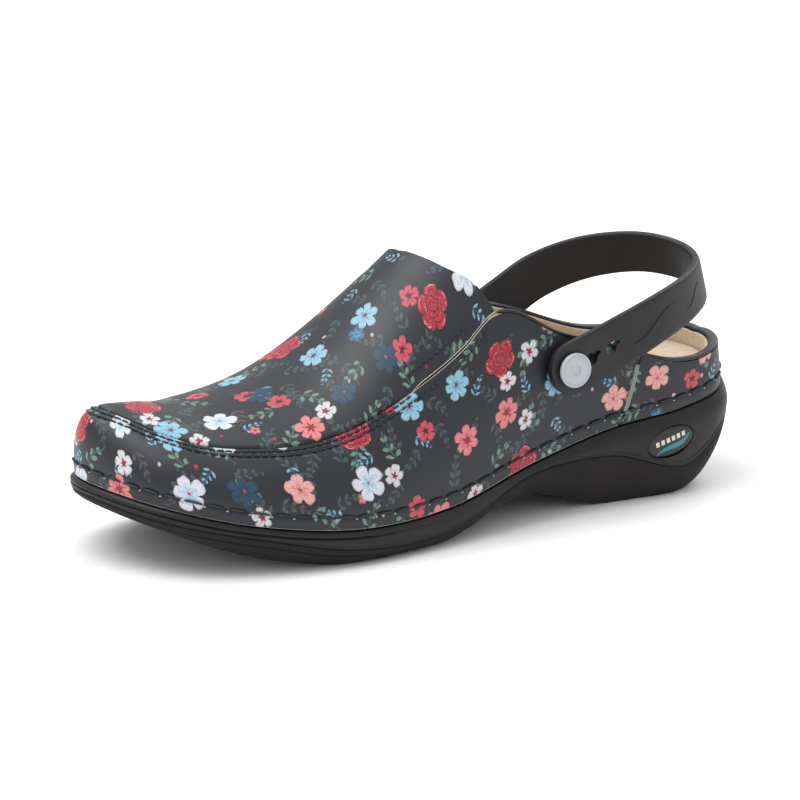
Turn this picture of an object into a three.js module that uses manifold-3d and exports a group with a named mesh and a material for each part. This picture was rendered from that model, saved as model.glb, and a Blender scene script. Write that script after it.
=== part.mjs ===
// A slip-on work clog with a swinging heel strap: left shoe, millimetres, +Z up, toe towards -Y, lateral
// side +X. The upper follows one foot-shaped surface U(u, t): u runs round the sole's edge (0 heel back,
// 9 toe tip, on the lateral side, then back to 18 on the medial side) and t runs up the wall from the sole
// (0) to the ridge (1).
import * as THREE from "three";
import { mergeVertices } from "three/addons/utils/BufferGeometryUtils.js";
import Module from "manifold-3d";

const wasm = await Module();
wasm.setup();

// ---- driving dimensions: ten stations from the heel back to the toe tip -------------------------
const LAST_STATION = 9;
const TURN = 2 * LAST_STATION;
const EDGE_LATERAL = [
  [-2.5, 127], [22, 118], [29.5, 96], [30, 64], [34.5, 28],
  [43, -10], [47.5, -48], [41, -84], [24.5, -113], [-7.5, -127],
];
const EDGE_MEDIAL = [
  [-2.5, 127], [-27, 118], [-34.5, 96], [-33.5, 62], [-32.5, 26],
  [-38.5, -16], [-47.5, -56], [-45.5, -90], [-33.5, -115], [-7.5, -127],
];
const EDGE_Z_LATERAL = [41.2, 36.2, 32.2, 28.7, 21.7, 13.7, 12.7, 17.2, 24.2, 28.2];
const EDGE_Z_MEDIAL = [41.2, 36.2, 32.2, 30.2, 24.2, 16.2, 13.7, 18.2, 24.7, 28.2];
const RIDGE = [
  [-2.5, 100, 136.2], [-2.5, 94, 139.2], [-2.5, 82, 141.2], [-2.5, 60, 139.2], [-3.5, 27, 120.2],
  [-5.5, -8, 91.2], [-7.5, -46, 60.6], [-8.5, -79, 50.4], [-9.5, -100, 51.6], [-9.5, -112, 53],
];
const RISE_LATERAL = [28, 28, 30, 34, 38, 34, 28, 22, 20.3, 22.5];
const RISE_MEDIAL = [28, 28, 30, 34, 38, 36, 30, 24, 21.3, 22.5];
const CROWN = [10, 14, 18, 20, 22, 24, 28, 24, 14.7, 13];
const LEAN = [0.5, 0.5, 1, 1.5, 2.5, 3, 3, 2.5, 2, 1.5];

// Sole heights and edge offsets at the same stations.
const GROUND_Z = [8, 5, 0, 0.3, 9.6, 0.3, -0.5, 4.6, 13, 17];
const GROUND_OFFSET = [-7, -5, -1, -1.5, -3, -3, -2.5, -4, -6, -8];
const PARTING_Z = [35, 26, 11.6, 19.5, 18.3, 6, 5.8, 13, 19.5, 24];
const PARTING_INNER_Z = [18, 16, 10, 13, 14, 5.5, 5, 9.5, 16, 20];
const FOOTBED_Z = [36.5, 35.5, 32, 28.5, 21.5, 13.7, 12.7, 17.2, 24.2, 27.5];
const INSOLE_Z = [46, 46, 44.5, 40.5, 31.5, 22.5, 19.5, 23, 29.5, 33];

// Layers of the upper, measured inwards from its outer surface.
const GAP = 0.3;
const LEATHER = [0, -1.6];
const STIFFENER = [-1.9, -3.1];
const LINING = [-3.8, -4.6];
const LIP_HEIGHT = 7;
const LINING_FOOT = 2.6;
const LEDGE = 2.2;
const SOLE_BULGE = 3;
const RECESS_EDGE = -4.8;
const INSOLE_EDGE = -5.5;
const INTERFACE_GAP = 2.2;
const BOARD = 1.5;
const COVER = 1;

// Where the upper is cut: [u, t] of the collar, the slit beside the tongue and the seam round the toe.
const COLLAR_LINE = [
  [0, 0.113], [1, 0.155], [1.7, 0.156], [2.3, 0.182], [3, 0.25], [3.6, 0.325],
  [4.25, 0.468], [4.7, 0.452], [5.2, 0.445], [6.4, 0.452], [7, 0.483], [7.55, 0.506],
  [8, 0.553], [8.4, 0.641], [8.7, 0.705], [9, 0.735], [9.3, 0.705],
];
const TONGUE_LINE = [[0, 4.29], [0.25, 4.47], [0.5, 4.71], [0.75, 4.86], [1, 4.95]];
const SEAM_TOP = 0.205;
const SIDE_SEAM = [[0, 2.86], [0.1, 2.72], [SEAM_TOP, 2.58]];
const COLLAR_END = 4.2;
const SLIT_END = 5.3;

// Small distances on the surface, in u or t.
const WALL_FOOT = 0.004;
const SEAM_GAP = 0.005;
const SEAM_SPLIT = 0.02;

// The heel strap's centre line, from its lateral end to its medial end.
const STRAP_LINE = [
  [34.3, 36.3, 51.8], [34.3, 45, 54.9], [34.8, 62, 61.2], [35.2, 80, 68.5], [27, 100.5, 73.6],
  [13.5, 114, 76.4], [-3, 117.8, 78.6], [-20, 110.5, 79.8], [-35.5, 96, 76.4], [-42, 79, 70.2],
  [-41, 62, 62], [-36.9, 45, 54.9], [-36.5, 36.3, 51.6],
];
const STRAP_THICKNESS = 3;
const STRAP_HALF_WIDTH = { arm: 9.6, back: 7.8 };
const STRAP_TILT = { start: 0.17, growth: 0.2 };
const STRAP_CORNER = { side: 0.5, face: 0.6 };
const STRAP_HOLE = { radius: 2.2, pitch: 8.4, slope: [0.94, 0.34], count: { lateral: 3, medial: 2 } };

// The turning buttons that hold the strap's ends, on the one axis that the strap swings about.
const PIVOT = { y: 44.6, z: 54.8 };
const BUTTON = {
  radius: 6.3, thickness: 1.6, postRadius: 1.9, postInset: 2.5, capX: { lateral: 37.4, medial: 41.3 },
};
const BACKING = { depths: [-1.95, -2.9], lengthU: 0.36, heightT: 0.09 };

// The elastic under each slit, from the station where it starts, and its width up the wall.
const GORE = { from: 4.36, length: 1, below: 0.05, height: 0.11 };

// Sewing: thread radius, and the rows' distances from the seams they hold, in t.
const THREAD = 0.4;
const EDGE_ROW_HEIGHT = 5;
const TOE_ROW_DROP = 0.03;
const SLIT_ROW = { from: 4.42, to: 5.2, offset: 0.05 };
const ZIGZAG = { turns: 14, bottom: 0.085, height: 0.095, half: 0.04 };

// The oval plate in the lateral heel wall.
const BADGE = { y: 89.5, z: 21.4, halfLength: 10, halfHeight: 5.2, tilt: 0.2, depth: 1.1 };

// ---- interpolation ------------------------------------------------------------------------------
const around = (lateral, medial) => [...lateral, ...medial.slice(1, -1).reverse()];

// A closed uniform Catmull-Rom curve through numbers or number triples, read at any u.
function loop(values) {
  const at = (i) => values[((i % TURN) + TURN) % TURN];
  return (u) => {
    const i = Math.floor(u);
    const f = u - i;
    const blend = (a, b, c, d) =>
      0.5 * (2 * b + (c - a) * f + (2 * a - 5 * b + 4 * c - d) * f ** 2 + (3 * b - a - 3 * c + d) * f ** 3);
    const p = [at(i - 1), at(i), at(i + 1), at(i + 2)];
    return Array.isArray(p[0]) ? p[0].map((_, k) => blend(...p.map((q) => q[k]))) : blend(...p);
  };
}

// A smooth curve through [x, y] knots with free spacing.
function track(knots) {
  const slope = knots.map((_, i) => {
    const a = knots[Math.max(i - 1, 0)];
    const b = knots[Math.min(i + 1, knots.length - 1)];
    return (b[1] - a[1]) / (b[0] - a[0]);
  });
  return (x) => {
    let i = 0;
    while (i < knots.length - 2 && x > knots[i + 1][0]) i++;
    const h = knots[i + 1][0] - knots[i][0];
    const f = THREE.MathUtils.clamp((x - knots[i][0]) / h, 0, 1);
    const [a, b] = [knots[i][1], knots[i + 1][1]];
    const rise = (1 - f) ** 2 * f * slope[i] * h - (1 - f) * f ** 2 * slope[i + 1] * h;
    return a * (1 + 2 * f) * (1 - f) ** 2 + b * f ** 2 * (3 - 2 * f) + rise;
  };
}

const fold = (u) => Math.min(((u % TURN) + TURN) % TURN, TURN - (((u % TURN) + TURN) % TURN));
const both = (list) => loop(around(list, list));
const edge = loop(around(EDGE_LATERAL, EDGE_MEDIAL));
const edgeZ = loop(around(EDGE_Z_LATERAL, EDGE_Z_MEDIAL));
const ridge = both(RIDGE);
const ridgeSlope = both(
  RIDGE.map((_, i) => {
    const a = RIDGE[Math.max(i - 1, 0)];
    const b = RIDGE[Math.min(i + 1, LAST_STATION)];
    return (b[2] - a[2]) / Math.hypot(b[0] - a[0], b[1] - a[1]);
  }),
);
const rise = loop(around(RISE_LATERAL, RISE_MEDIAL));
const crown = both(CROWN);
const lean = both(LEAN);
const groundZ = both(GROUND_Z);
const groundOffset = both(GROUND_OFFSET);
const partingZ = both(PARTING_Z);
const partingInnerZ = both(PARTING_INNER_Z);
const footbedZ = both(FOOTBED_Z);
const insoleZ = both(INSOLE_Z);
const collarLine = track(COLLAR_LINE);
const collar = (u) => collarLine(fold(u));
const tongueEdge = track(TONGUE_LINE);
const sideSeam = track(SIDE_SEAM);

// ---- the foot-shaped surface --------------------------------------------------------------------
// The unit vector that points straight out of the sole's edge, in plan.
function edgeNormal(u) {
  const [a, b] = [edge(u - 0.001), edge(u + 0.001)];
  const length = Math.hypot(b[0] - a[0], b[1] - a[1]);
  return [-(b[1] - a[1]) / length, (b[0] - a[0]) / length];
}

// The sole's edge moved outwards by an offset, at height z.
function rim(u, offset, z) {
  const [x, y] = edge(u);
  const [nx, ny] = edgeNormal(u);
  return new THREE.Vector3(x + nx * offset, y + ny * offset, z);
}

// Each wall profile is a cubic Bezier curve that leaves the edge steeply and arrives level across the ridge.
function wallPoint(u, t) {
  const [nx, ny] = edgeNormal(u);
  const foot = rim(u, 0, edgeZ(u));
  const top = new THREE.Vector3(...ridge(u));
  const across = new THREE.Vector2(top.x - foot.x, top.y - foot.y).normalize();
  const first = foot.clone().add(new THREE.Vector3(nx * lean(u), ny * lean(u), rise(u)));
  const reach = crown(u);
  const drop = ridgeSlope(u) * -across.y * reach;
  const last = top.clone().sub(new THREE.Vector3(across.x * reach, across.y * reach, drop));
  return new THREE.CubicBezierCurve3(foot, first, last, top).getPoint(t);
}

function wallNormal(u, t) {
  const step = 0.004;
  const low = Math.min(Math.max(t, step), 0.985 - step);
  const alongU = wallPoint(u + step, low).sub(wallPoint(u - step, low));
  const alongT = wallPoint(u, low + step).sub(wallPoint(u, low - step));
  return alongT.cross(alongU).normalize();
}

const skin = (u, t, depth) => wallPoint(u, t).addScaledVector(wallNormal(u, t), depth);

// The place on the tongue's half of the surface: s runs to the toe, v from the lateral seam (-1) to the
// medial one (1).
function overRidge(s, v, low) {
  const t = low + (1 - low) * (1 - Math.abs(v));
  return [v < 0 ? s : TURN - s, t];
}

// ---- solids -------------------------------------------------------------------------------------
// Joins triangles into one closed geometry whose faces point outwards.
function closed(triangles) {
  const raw = new THREE.BufferGeometry().setFromPoints(triangles);
  const merged = mergeVertices(raw, 1e-3);
  const index = merged.index.array;
  const kept = [];
  for (let i = 0; i < index.length; i += 3) {
    const [a, b, c] = index.slice(i, i + 3);
    if (a !== b && b !== c && c !== a) kept.push(a, b, c);
  }
  const p = merged.attributes.position;
  const at = (i) => new THREE.Vector3().fromBufferAttribute(p, i);
  let volume = 0;
  for (let i = 0; i < kept.length; i += 3) {
    volume += at(kept[i]).dot(at(kept[i + 1]).cross(at(kept[i + 2])));
  }
  merged.setIndex(volume < 0 ? kept.reverse() : kept);
  merged.computeVertexNormals();
  return merged;
}

// The two triangles of each cell of a grid of points.
function gridFaces(grid, reversed = false) {
  const out = [];
  for (let i = 0; i + 1 < grid.length; i++) {
    for (let j = 0; j + 1 < grid[i].length; j++) {
      const [a, b, c, d] = [grid[i][j], grid[i + 1][j], grid[i + 1][j + 1], grid[i][j + 1]];
      out.push(...(reversed ? [a, c, b, a, d, c] : [a, b, c, a, c, d]));
    }
  }
  return out;
}

// A curved plate: point(a, b, depth) with a and b from 0 to 1, between two depths. A folded plate meets
// itself at a = 1.
function plate(stepsA, stepsB, [outer, inner], point, folded = false) {
  const grid = (depth) =>
    Array.from({ length: stepsA + 1 }, (_, i) =>
      Array.from({ length: stepsB + 1 }, (_, j) => point(i / stepsA, j / stepsB, depth)),
    );
  const [top, under] = [grid(outer), grid(inner)];
  const side = (a, b) => gridFaces([a, b]);
  const faces = [
    ...gridFaces(top),
    ...gridFaces(under, true),
    ...side(under[0], top[0]),
    ...side(top.map((row) => row[0]), under.map((row) => row[0])),
    ...side(under.map((row) => row.at(-1)), top.map((row) => row.at(-1))),
  ];
  if (!folded) faces.push(...side(top.at(-1), under.at(-1)));
  return closed(faces);
}

// A solid with one wall round the shoe: rings of points from the top inner ring to the bottom inner ring,
// and a cap across each end ring, with rungs from the lateral to the medial side that sag in the middle by a
// given depth.
const RUNGS = 5;

function slab(steps, rings, sag = 0) {
  const places = Array.from({ length: steps + 1 }, (_, k) => (TURN * (k % steps)) / steps);
  const rows = rings.map((ring) => places.map(ring));
  const cap = (row, depth) =>
    Array.from({ length: steps / 2 + 1 }, (_, k) =>
      Array.from({ length: RUNGS + 1 }, (_, j) => {
        const w = j / RUNGS;
        const p = row[k].clone().lerp(row[(steps - k) % steps], w);
        p.z -= 4 * depth * w * (1 - w) * Math.sin((Math.PI * k) / (steps / 2));
        return p;
      }),
    );
  const [top, bottom] = [cap(rows[0], sag), cap(rows.at(-1), 0)];
  return closed([...gridFaces(top), ...gridFaces(rows), ...gridFaces(bottom, true)]);
}

// A round thread along a list of points, as a closed ring or with flat ends.
function thread(points, radius, sides = 5, ring = false) {
  const curve = new THREE.CatmullRomCurve3(points, ring, "centripetal");
  const steps = ring ? points.length : points.length - 1;
  const at = Array.from({ length: points.length }, (_, i) => curve.getPoint(i / steps));
  const rows = at.map((p, i) => {
    const tangent = curve.getTangent(i / steps);
    const side = new THREE.Vector3(0, 0, 1).cross(tangent).normalize();
    const up = tangent.clone().cross(side);
    return Array.from({ length: sides + 1 }, (_, k) => {
      const angle = (2 * Math.PI * (k % sides)) / sides;
      const reach = side.clone().multiplyScalar(Math.cos(angle) * radius);
      return p.clone().add(reach).addScaledVector(up, Math.sin(angle) * radius);
    });
  });
  if (ring) rows.push(rows[0]);
  const faces = gridFaces(rows);
  if (!ring) {
    faces.push(...gridFaces([rows[0], rows[0].map(() => at[0])], true));
    faces.push(...gridFaces([rows.at(-1), rows.at(-1).map(() => at.at(-1))]));
  }
  return closed(faces);
}

// Takes tools away from a body.
function cut(body, ...tools) {
  const solid = (geometry) => {
    const bare = geometry.clone();
    bare.deleteAttribute("normal");
    bare.deleteAttribute("uv");
    const merged = mergeVertices(bare, 1e-3);
    const vertProperties = new Float32Array(merged.attributes.position.array);
    const triVerts = new Uint32Array(merged.index.array);
    return new wasm.Manifold(new wasm.Mesh({ numProp: 3, vertProperties, triVerts }));
  };
  const left = tools.reduce((rest, tool) => rest.subtract(solid(tool)), solid(body)).getMesh();
  const geometry = new THREE.BufferGeometry();
  geometry.setAttribute("position", new THREE.BufferAttribute(left.vertProperties, 3));
  geometry.setIndex(new THREE.BufferAttribute(left.triVerts, 1));
  geometry.computeVertexNormals();
  return geometry;
}

// A cylinder lying along X.
function rod(radius, length, x, y, z, sides = 20) {
  return new THREE.CylinderGeometry(radius, radius, length, sides).rotateZ(Math.PI / 2).translate(x, y, z);
}

// ---- the assembly -------------------------------------------------------------------------------
const clog = new THREE.Group();

function add(name, geometry, color, roughness, metalness = 0) {
  const mesh = new THREE.Mesh(geometry, new THREE.MeshStandardMaterial({ color, roughness, metalness }));
  mesh.name = name;
  clog.add(mesh);
}

const COLORS = {
  print: 0x43434b, sole: 0x2a2829, lining: 0xc9b6a2, board: 0xa58b66, foam: 0x3c3c40, steel: 0x9a9ca0,
  stiffener: 0xd9d2c3, elastic: 0x24242a, thread: 0x1d2233, seamThread: 0x6d7c78, strap: 0x343436,
  button: 0xb4b7bc, badge: 0x1f5f63,
};

// -- sole unit
const SOLE_STEPS = 60;

function makeOutsole() {
  const top = (u) => rim(u, -8, Math.min(partingInnerZ(u), partingZ(u)) - GAP / 2);
  const ground = (u) => Math.max(groundZ(u), 0);
  return slab(SOLE_STEPS, [
    top,
    (u) => rim(u, SOLE_BULGE - 1.8, partingZ(u) - GAP / 2),
    (u) => rim(u, SOLE_BULGE - 0.4, partingZ(u) - GAP / 2),
    (u) => rim(u, (SOLE_BULGE - 0.4) * 0.6 + groundOffset(u) * 0.4, partingZ(u) * 0.45 + ground(u) * 0.55),
    (u) => rim(u, groundOffset(u), ground(u) + 1.2),
    (u) => rim(u, groundOffset(u) - 1.2, ground(u)),
  ]);
}

const SHANK = { fromY: 78, toY: -18, halfWidth: 8, thickness: 1.2, steps: 14, depth: 0.5, margin: 0.4 };

// The shank is a strip that follows the footbed's profile along the middle of the sole.
function shankStrip(grow) {
  const length = SHANK.fromY - SHANK.toY + 2 * grow;
  return plate(SHANK.steps, 1, [0, 1], (a, b, side) => {
    const y = SHANK.fromY + grow - a * length;
    const station = stationAt(y);
    const bottom = footbedZ(station) - SHANK.depth - SHANK.thickness - grow;
    const top = grow ? footbedZ(station) + 2 : footbedZ(station) - SHANK.depth;
    return new THREE.Vector3(-2 + (2 * b - 1) * (SHANK.halfWidth + grow), y, side ? bottom : top);
  });
}

// The station on the lateral edge that lies at a given y.
function stationAt(y) {
  let [low, high] = [0, LAST_STATION];
  for (let i = 0; i < 30; i++) {
    const middle = (low + high) / 2;
    if (edge(middle)[1] > y) low = middle;
    else high = middle;
  }
  return low;
}

function makeMidsole() {
  const recess = (u) => Math.min(footbedZ(u), edgeZ(u) + 0.5);
  const body = slab(SOLE_STEPS, [
    (u) => rim(u, RECESS_EDGE, recess(u)),
    (u) => rim(u, RECESS_EDGE, edgeZ(u) + 0.6),
    (u) => rim(u, STIFFENER[1], edgeZ(u) + 0.6),
    (u) => skin(u, lipTop(u), STIFFENER[1]),
    (u) => skin(u, lipTop(u), STIFFENER[0]),
    (u) => rim(u, STIFFENER[0], edgeZ(u) - GAP),
    (u) => rim(u, LEDGE, edgeZ(u) - GAP),
    (u) => rim(u, SOLE_BULGE, edgeZ(u) - 2.2),
    (u) => rim(u, SOLE_BULGE - 0.4, partingZ(u) + GAP / 2),
    (u) => rim(u, SOLE_BULGE - 1.8, partingZ(u) + GAP / 2),
    (u) => rim(u, -8, Math.min(partingInnerZ(u), partingZ(u)) + INTERFACE_GAP),
  ]);
  return cut(body, shankStrip(SHANK.margin), badgePrism(0.4, 6, BADGE.depth + GAP));
}

// The t at which the wall has risen by the height of the sole's stitching lip.
function lipTop(u) {
  return heightT(u, LIP_HEIGHT);
}

function heightT(u, height) {
  let [low, high] = [0, 0.5];
  for (let i = 0; i < 20; i++) {
    const middle = (low + high) / 2;
    if (wallPoint(u, middle).z - edgeZ(u) < height) low = middle;
    else high = middle;
  }
  return low;
}

// An oval prism on the lateral heel wall, from a depth below the wall to outside it.
function badgePrism(grow, outside, depth) {
  const shape = new THREE.Shape();
  shape.absellipse(0, 0, BADGE.halfLength + grow, BADGE.halfHeight + grow, 0, 2 * Math.PI);
  const form = { depth: outside + depth, bevelEnabled: false, curveSegments: 10 };
  const prism = new THREE.ExtrudeGeometry(shape, form);
  const wall = rim(stationAt(BADGE.y), SOLE_BULGE - 0.4, BADGE.z);
  return prism
    .rotateZ(BADGE.tilt)
    .rotateX(Math.PI / 2)
    .rotateZ(Math.PI / 2)
    .translate(wall.x - depth, wall.y, wall.z);
}

function insoleSlab(bottom, top, sag) {
  return slab(44, [(u) => rim(u, INSOLE_EDGE, top(u)), (u) => rim(u, INSOLE_EDGE, bottom(u))], sag);
}

add("outsole", makeOutsole(), COLORS.sole, 0.6);
add("midsole", makeMidsole(), COLORS.sole, 0.5);
add("shank", shankStrip(0), COLORS.steel, 0.4, 1);
add("badge_plate", badgePrism(0, -GAP, BADGE.depth), COLORS.badge, 0.4);

// -- what the foot stands on
const boardBottom = (u) => Math.min(footbedZ(u), edgeZ(u) + 0.5) + GAP;
const coverBottom = (u) => insoleZ(u) - COVER;
add("insole_board", insoleSlab(boardBottom, (u) => boardBottom(u) + BOARD, 0), COLORS.board, 0.9);
const foam = insoleSlab((u) => boardBottom(u) + BOARD + GAP, (u) => coverBottom(u) - GAP, 1);
add("insole_foam", foam, COLORS.foam, 0.9);
add("insole_cover", insoleSlab(coverBottom, insoleZ, 0), COLORS.lining, 0.85);

// -- leather upper
// The long wall runs from the lateral side seam round the toe to the medial one, which mirrors it.
function sideWall(depths) {
  return plate(60, 5, depths, (a, b, depth) => {
    const seam = sideSeam(b * SEAM_TOP) + SEAM_SPLIT;
    const u = seam + a * (TURN - 2 * seam);
    const t = WALL_FOOT + b * (collar(u) - 2 * SEAM_GAP - WALL_FOOT);
    return skin(u, t, depth);
  });
}

// The low wall round the heel.
function heelQuarter(depths) {
  return plate(26, 4, depths, (a, b, depth) => {
    const seam = sideSeam(b * SEAM_TOP) - SEAM_SPLIT;
    const u = (2 * a - 1) * seam;
    const t = WALL_FOOT + b * (collar(u) - 2 * SEAM_GAP - WALL_FOOT);
    return skin(u, t, depth);
  });
}

// The tongue and toe panel in one piece.
function plug(depths) {
  return plate(24, 12, depths, (a, b, depth) => {
    const v = 2 * b - 1;
    const start = tongueEdge(1 - Math.abs(v));
    const s = start + a * (LAST_STATION - start);
    const [u, t] = overRidge(s, v, collar(s) + SEAM_GAP);
    return skin(u, t, depth);
  }, true);
}

function vampLining() {
  return plate(22, 14, LINING, (a, b, depth) => {
    const v = 2 * b - 1;
    const up = 1 - Math.abs(v);
    const low = heightT(4.4, LINING_FOOT);
    const start = tongueEdge(THREE.MathUtils.clamp((up * (1 - low) - 0.4) / 0.6, 0, 1)) + 0.02;
    const s = start + a * (LAST_STATION - start);
    const [u, t] = overRidge(s, v, heightT(s, LINING_FOOT));
    return skin(u, t, depth);
  }, true);
}

function quarterLining() {
  return plate(36, 3, LINING, (a, b, depth) => {
    const u = (2 * a - 1) * (COLLAR_END - 0.02);
    const low = heightT(u, LINING_FOOT);
    return skin(u, low + b * (collar(u) - 3 * SEAM_GAP - low), depth);
  });
}

// A stiffening piece between the leather and the lining, from above the stitching lip to below the seam.
function stiffener(from, to, steps, drop) {
  return plate(steps, 3, STIFFENER, (a, b, depth) => {
    const u = from + a * (to - from);
    const low = heightT(u, LIP_HEIGHT + 0.8);
    return skin(u, low + b * (collar(u) - drop - low), depth);
  });
}

// The elastic that lies under a slit and joins the quarter to the tongue.
function gore(side) {
  return plate(8, 2, STIFFENER, (a, b, depth) => {
    const s = GORE.from + a * GORE.length;
    const u = side > 0 ? s : TURN - s;
    return skin(u, collar(s) - GORE.below + b * GORE.height, depth);
  });
}

// The collar's edge binding caps the leather and the lining of the quarters.
function collarBinding() {
  const section = [[0.1, 0], [-0.6, 1.3], [-3.8, 1.3], [-4.7, 0]];
  const steps = 44;
  const rows = Array.from({ length: steps + 1 }, (_, i) => {
    const u = ((2 * i) / steps - 1) * (COLLAR_END - 0.05);
    const t = collar(u) - SEAM_GAP;
    const up = wallPoint(u, t + 0.01).sub(wallPoint(u, t - 0.01)).normalize();
    return section.map(([depth, height]) => skin(u, t, depth).addScaledVector(up, height + GAP));
  });
  const ring = rows.map((row) => [...row, row[0]]);
  const lid = (row) => [[row[0], row[1]], [row[3], row[2]]];
  return closed([...gridFaces(ring), ...gridFaces(lid(rows[0]), true), ...gridFaces(lid(rows.at(-1)))]);
}

add("side_wall", cut(sideWall(LEATHER), ...[1, -1].map(postHole)), COLORS.print, 0.45);
add("heel_quarter", heelQuarter(LEATHER), COLORS.print, 0.45);
add("vamp_plug", plug(LEATHER), COLORS.print, 0.45);
add("vamp_lining", vampLining(), COLORS.lining, 0.9);
add("quarter_lining", quarterLining(), COLORS.lining, 0.9);
add("toe_puff", stiffener(7.4, TURN - 7.4, 14, 0.03), COLORS.stiffener, 0.8);
add("heel_counter", stiffener(-2.9, 2.9, 20, 0.012), COLORS.stiffener, 0.8);
add("collar_binding", collarBinding(), COLORS.print, 0.5);
add("gore_lateral", gore(1), COLORS.elastic, 0.9);
add("gore_medial", gore(-1), COLORS.elastic, 0.9);

function postHole(side) {
  return rod(BUTTON.postRadius + GAP, 30, side * 38, PIVOT.y, PIVOT.z);
}

// -- threads, lying just proud of the leather
const PROUD = THREAD + GAP;
const along = (count, from, to, t) =>
  Array.from({ length: count + 1 }, (_, i) => {
    const u = from + ((to - from) * i) / count;
    return skin(u, t(u), PROUD);
  });

const EDGE_ROW_STEPS = 96;
const lastStep = EDGE_ROW_STEPS - 1;
const edgeRow = along(lastStep, 0, (TURN * lastStep) / EDGE_ROW_STEPS, (u) => heightT(u, EDGE_ROW_HEIGHT));
const toeRow = along(44, SLIT_END, TURN - SLIT_END, (u) => collar(u) - TOE_ROW_DROP);
add("edge_stitching", thread(edgeRow, THREAD, 5, true), COLORS.thread, 0.7);
add("toe_seam_stitching", thread(toeRow, THREAD), COLORS.thread, 0.7);
for (const [side, name] of [[1, "lateral"], [-1, "medial"]]) {
  const turn = (u) => (side > 0 ? u : TURN - u);
  const zigzag = Array.from({ length: ZIGZAG.turns + 1 }, (_, i) => {
    const t = ZIGZAG.bottom + (ZIGZAG.height * i) / ZIGZAG.turns;
    return skin(turn(sideSeam(t) + (i % 2 ? ZIGZAG.half : -ZIGZAG.half)), t, PROUD);
  });
  add("side_seam_stitching_" + name, thread(zigzag, THREAD, 4), COLORS.seamThread, 0.8);
  const slitRow = (offset) => along(9, turn(SLIT_ROW.from), turn(SLIT_ROW.to), (u) => collar(u) + offset);
  add("gore_stitching_front_" + name, thread(slitRow(SLIT_ROW.offset), THREAD, 4), COLORS.thread, 0.7);
  add("gore_stitching_rear_" + name, thread(slitRow(-SLIT_ROW.offset), THREAD, 4), COLORS.thread, 0.7);
}

// -- heel strap and its buttons
// The strap's centre, width and thickness directions at a place w from 0 to 1 along it.
const strapKnots = STRAP_LINE.map((p) => new THREE.Vector3(...p));
const strapCurve = new THREE.CatmullRomCurve3(strapKnots, false, "centripetal");

function strapFrame(w) {
  const tangent = strapCurve.getTangent(w);
  const tilt = STRAP_TILT.start + STRAP_TILT.growth * w;
  const width = new THREE.Vector3(0, -Math.sin(tilt), Math.cos(tilt));
  width.addScaledVector(tangent, -width.dot(tangent)).normalize();
  return { centre: strapCurve.getPoint(w), width, out: tangent.clone().cross(width) };
}

function strapBand() {
  const steps = 76;
  const length = strapCurve.getLength();
  const rows = Array.from({ length: steps + 1 }, (_, i) => {
    const w = i / steps;
    const { centre, width, out } = strapFrame(w);
    const toEnd = Math.min(w, 1 - w) * length;
    const middle = Math.sin(Math.PI * w) ** 2;
    const full = THREE.MathUtils.lerp(STRAP_HALF_WIDTH.arm, STRAP_HALF_WIDTH.back, middle);
    const round = Math.min(toEnd / full, 1);
    const half = full * Math.sqrt(Math.max(1 - (1 - round) ** 2, 0.04));
    const thick = STRAP_THICKNESS / 2;
    const [flank, face] = [half - STRAP_CORNER.side, thick - STRAP_CORNER.face];
    const section = [
      [-thick, -flank], [-thick, flank], [-face, half], [face, half],
      [thick, flank], [thick, -flank], [face, -half], [-face, -half], [-thick, -flank],
    ];
    return section.map(([a, b]) => centre.clone().addScaledVector(out, a).addScaledVector(width, b));
  });
  const lid = (row) => {
    const middle = row[0].clone().lerp(row[4], 0.5);
    return [row.map(() => middle), row];
  };
  return closed([...gridFaces(rows), ...gridFaces(lid(rows[0])), ...gridFaces(lid(rows.at(-1)), true)]);
}

// Adjusting holes run back along each arm from the one that the button holds.
function strapHoles(side, name) {
  const [back, up] = STRAP_HOLE.slope;
  return Array.from({ length: STRAP_HOLE.count[name] }, (_, i) => {
    const [y, z] = [PIVOT.y + i * STRAP_HOLE.pitch * back, PIVOT.z + i * STRAP_HOLE.pitch * up];
    return rod(STRAP_HOLE.radius, 24, side * BUTTON.capX.lateral, y, z, 12);
  });
}

function addButton(side, name) {
  const wall = wallAtPivot(side);
  const capX = side * BUTTON.capX[name];
  const cap = rod(BUTTON.radius, BUTTON.thickness, capX, PIVOT.y, PIVOT.z, 28);
  add("button_cap_" + name, cap, COLORS.button, 0.35);
  const from = wall.x - side * BUTTON.postInset;
  const to = capX - side * (BUTTON.thickness / 2 + GAP);
  const post = rod(BUTTON.postRadius, Math.abs(to - from), (from + to) / 2, PIVOT.y, PIVOT.z, 16);
  add("button_post_" + name, post, COLORS.button, 0.4);
  const backing = plate(6, 4, BACKING.depths, (a, b, depth) =>
    skin(wall.u + (a - 0.5) * BACKING.lengthU, wall.t + (b - 0.5) * BACKING.heightT, depth),
  );
  add("button_backing_" + name, cut(backing, postHole(side)), COLORS.steel, 0.4, 1);
}

// The place on the upper's outer surface that the pivot axis passes through.
function wallAtPivot(side) {
  let best = { gap: Infinity };
  for (let s = 3; s < 4; s += 0.02) {
    const u = side > 0 ? s : TURN - s;
    for (let t = 0.1; t < 0.35; t += 0.01) {
      const p = wallPoint(u, t);
      const gap = Math.hypot(p.y - PIVOT.y, p.z - PIVOT.z);
      if (gap < best.gap) best = { gap, x: p.x, u, t };
    }
  }
  return best;
}

const heelStrap = cut(strapBand(), ...strapHoles(1, "lateral"), ...strapHoles(-1, "medial"));
add("heel_strap", heelStrap, COLORS.strap, 0.55);
addButton(1, "lateral");
addButton(-1, "medial");

export default clog;
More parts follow.
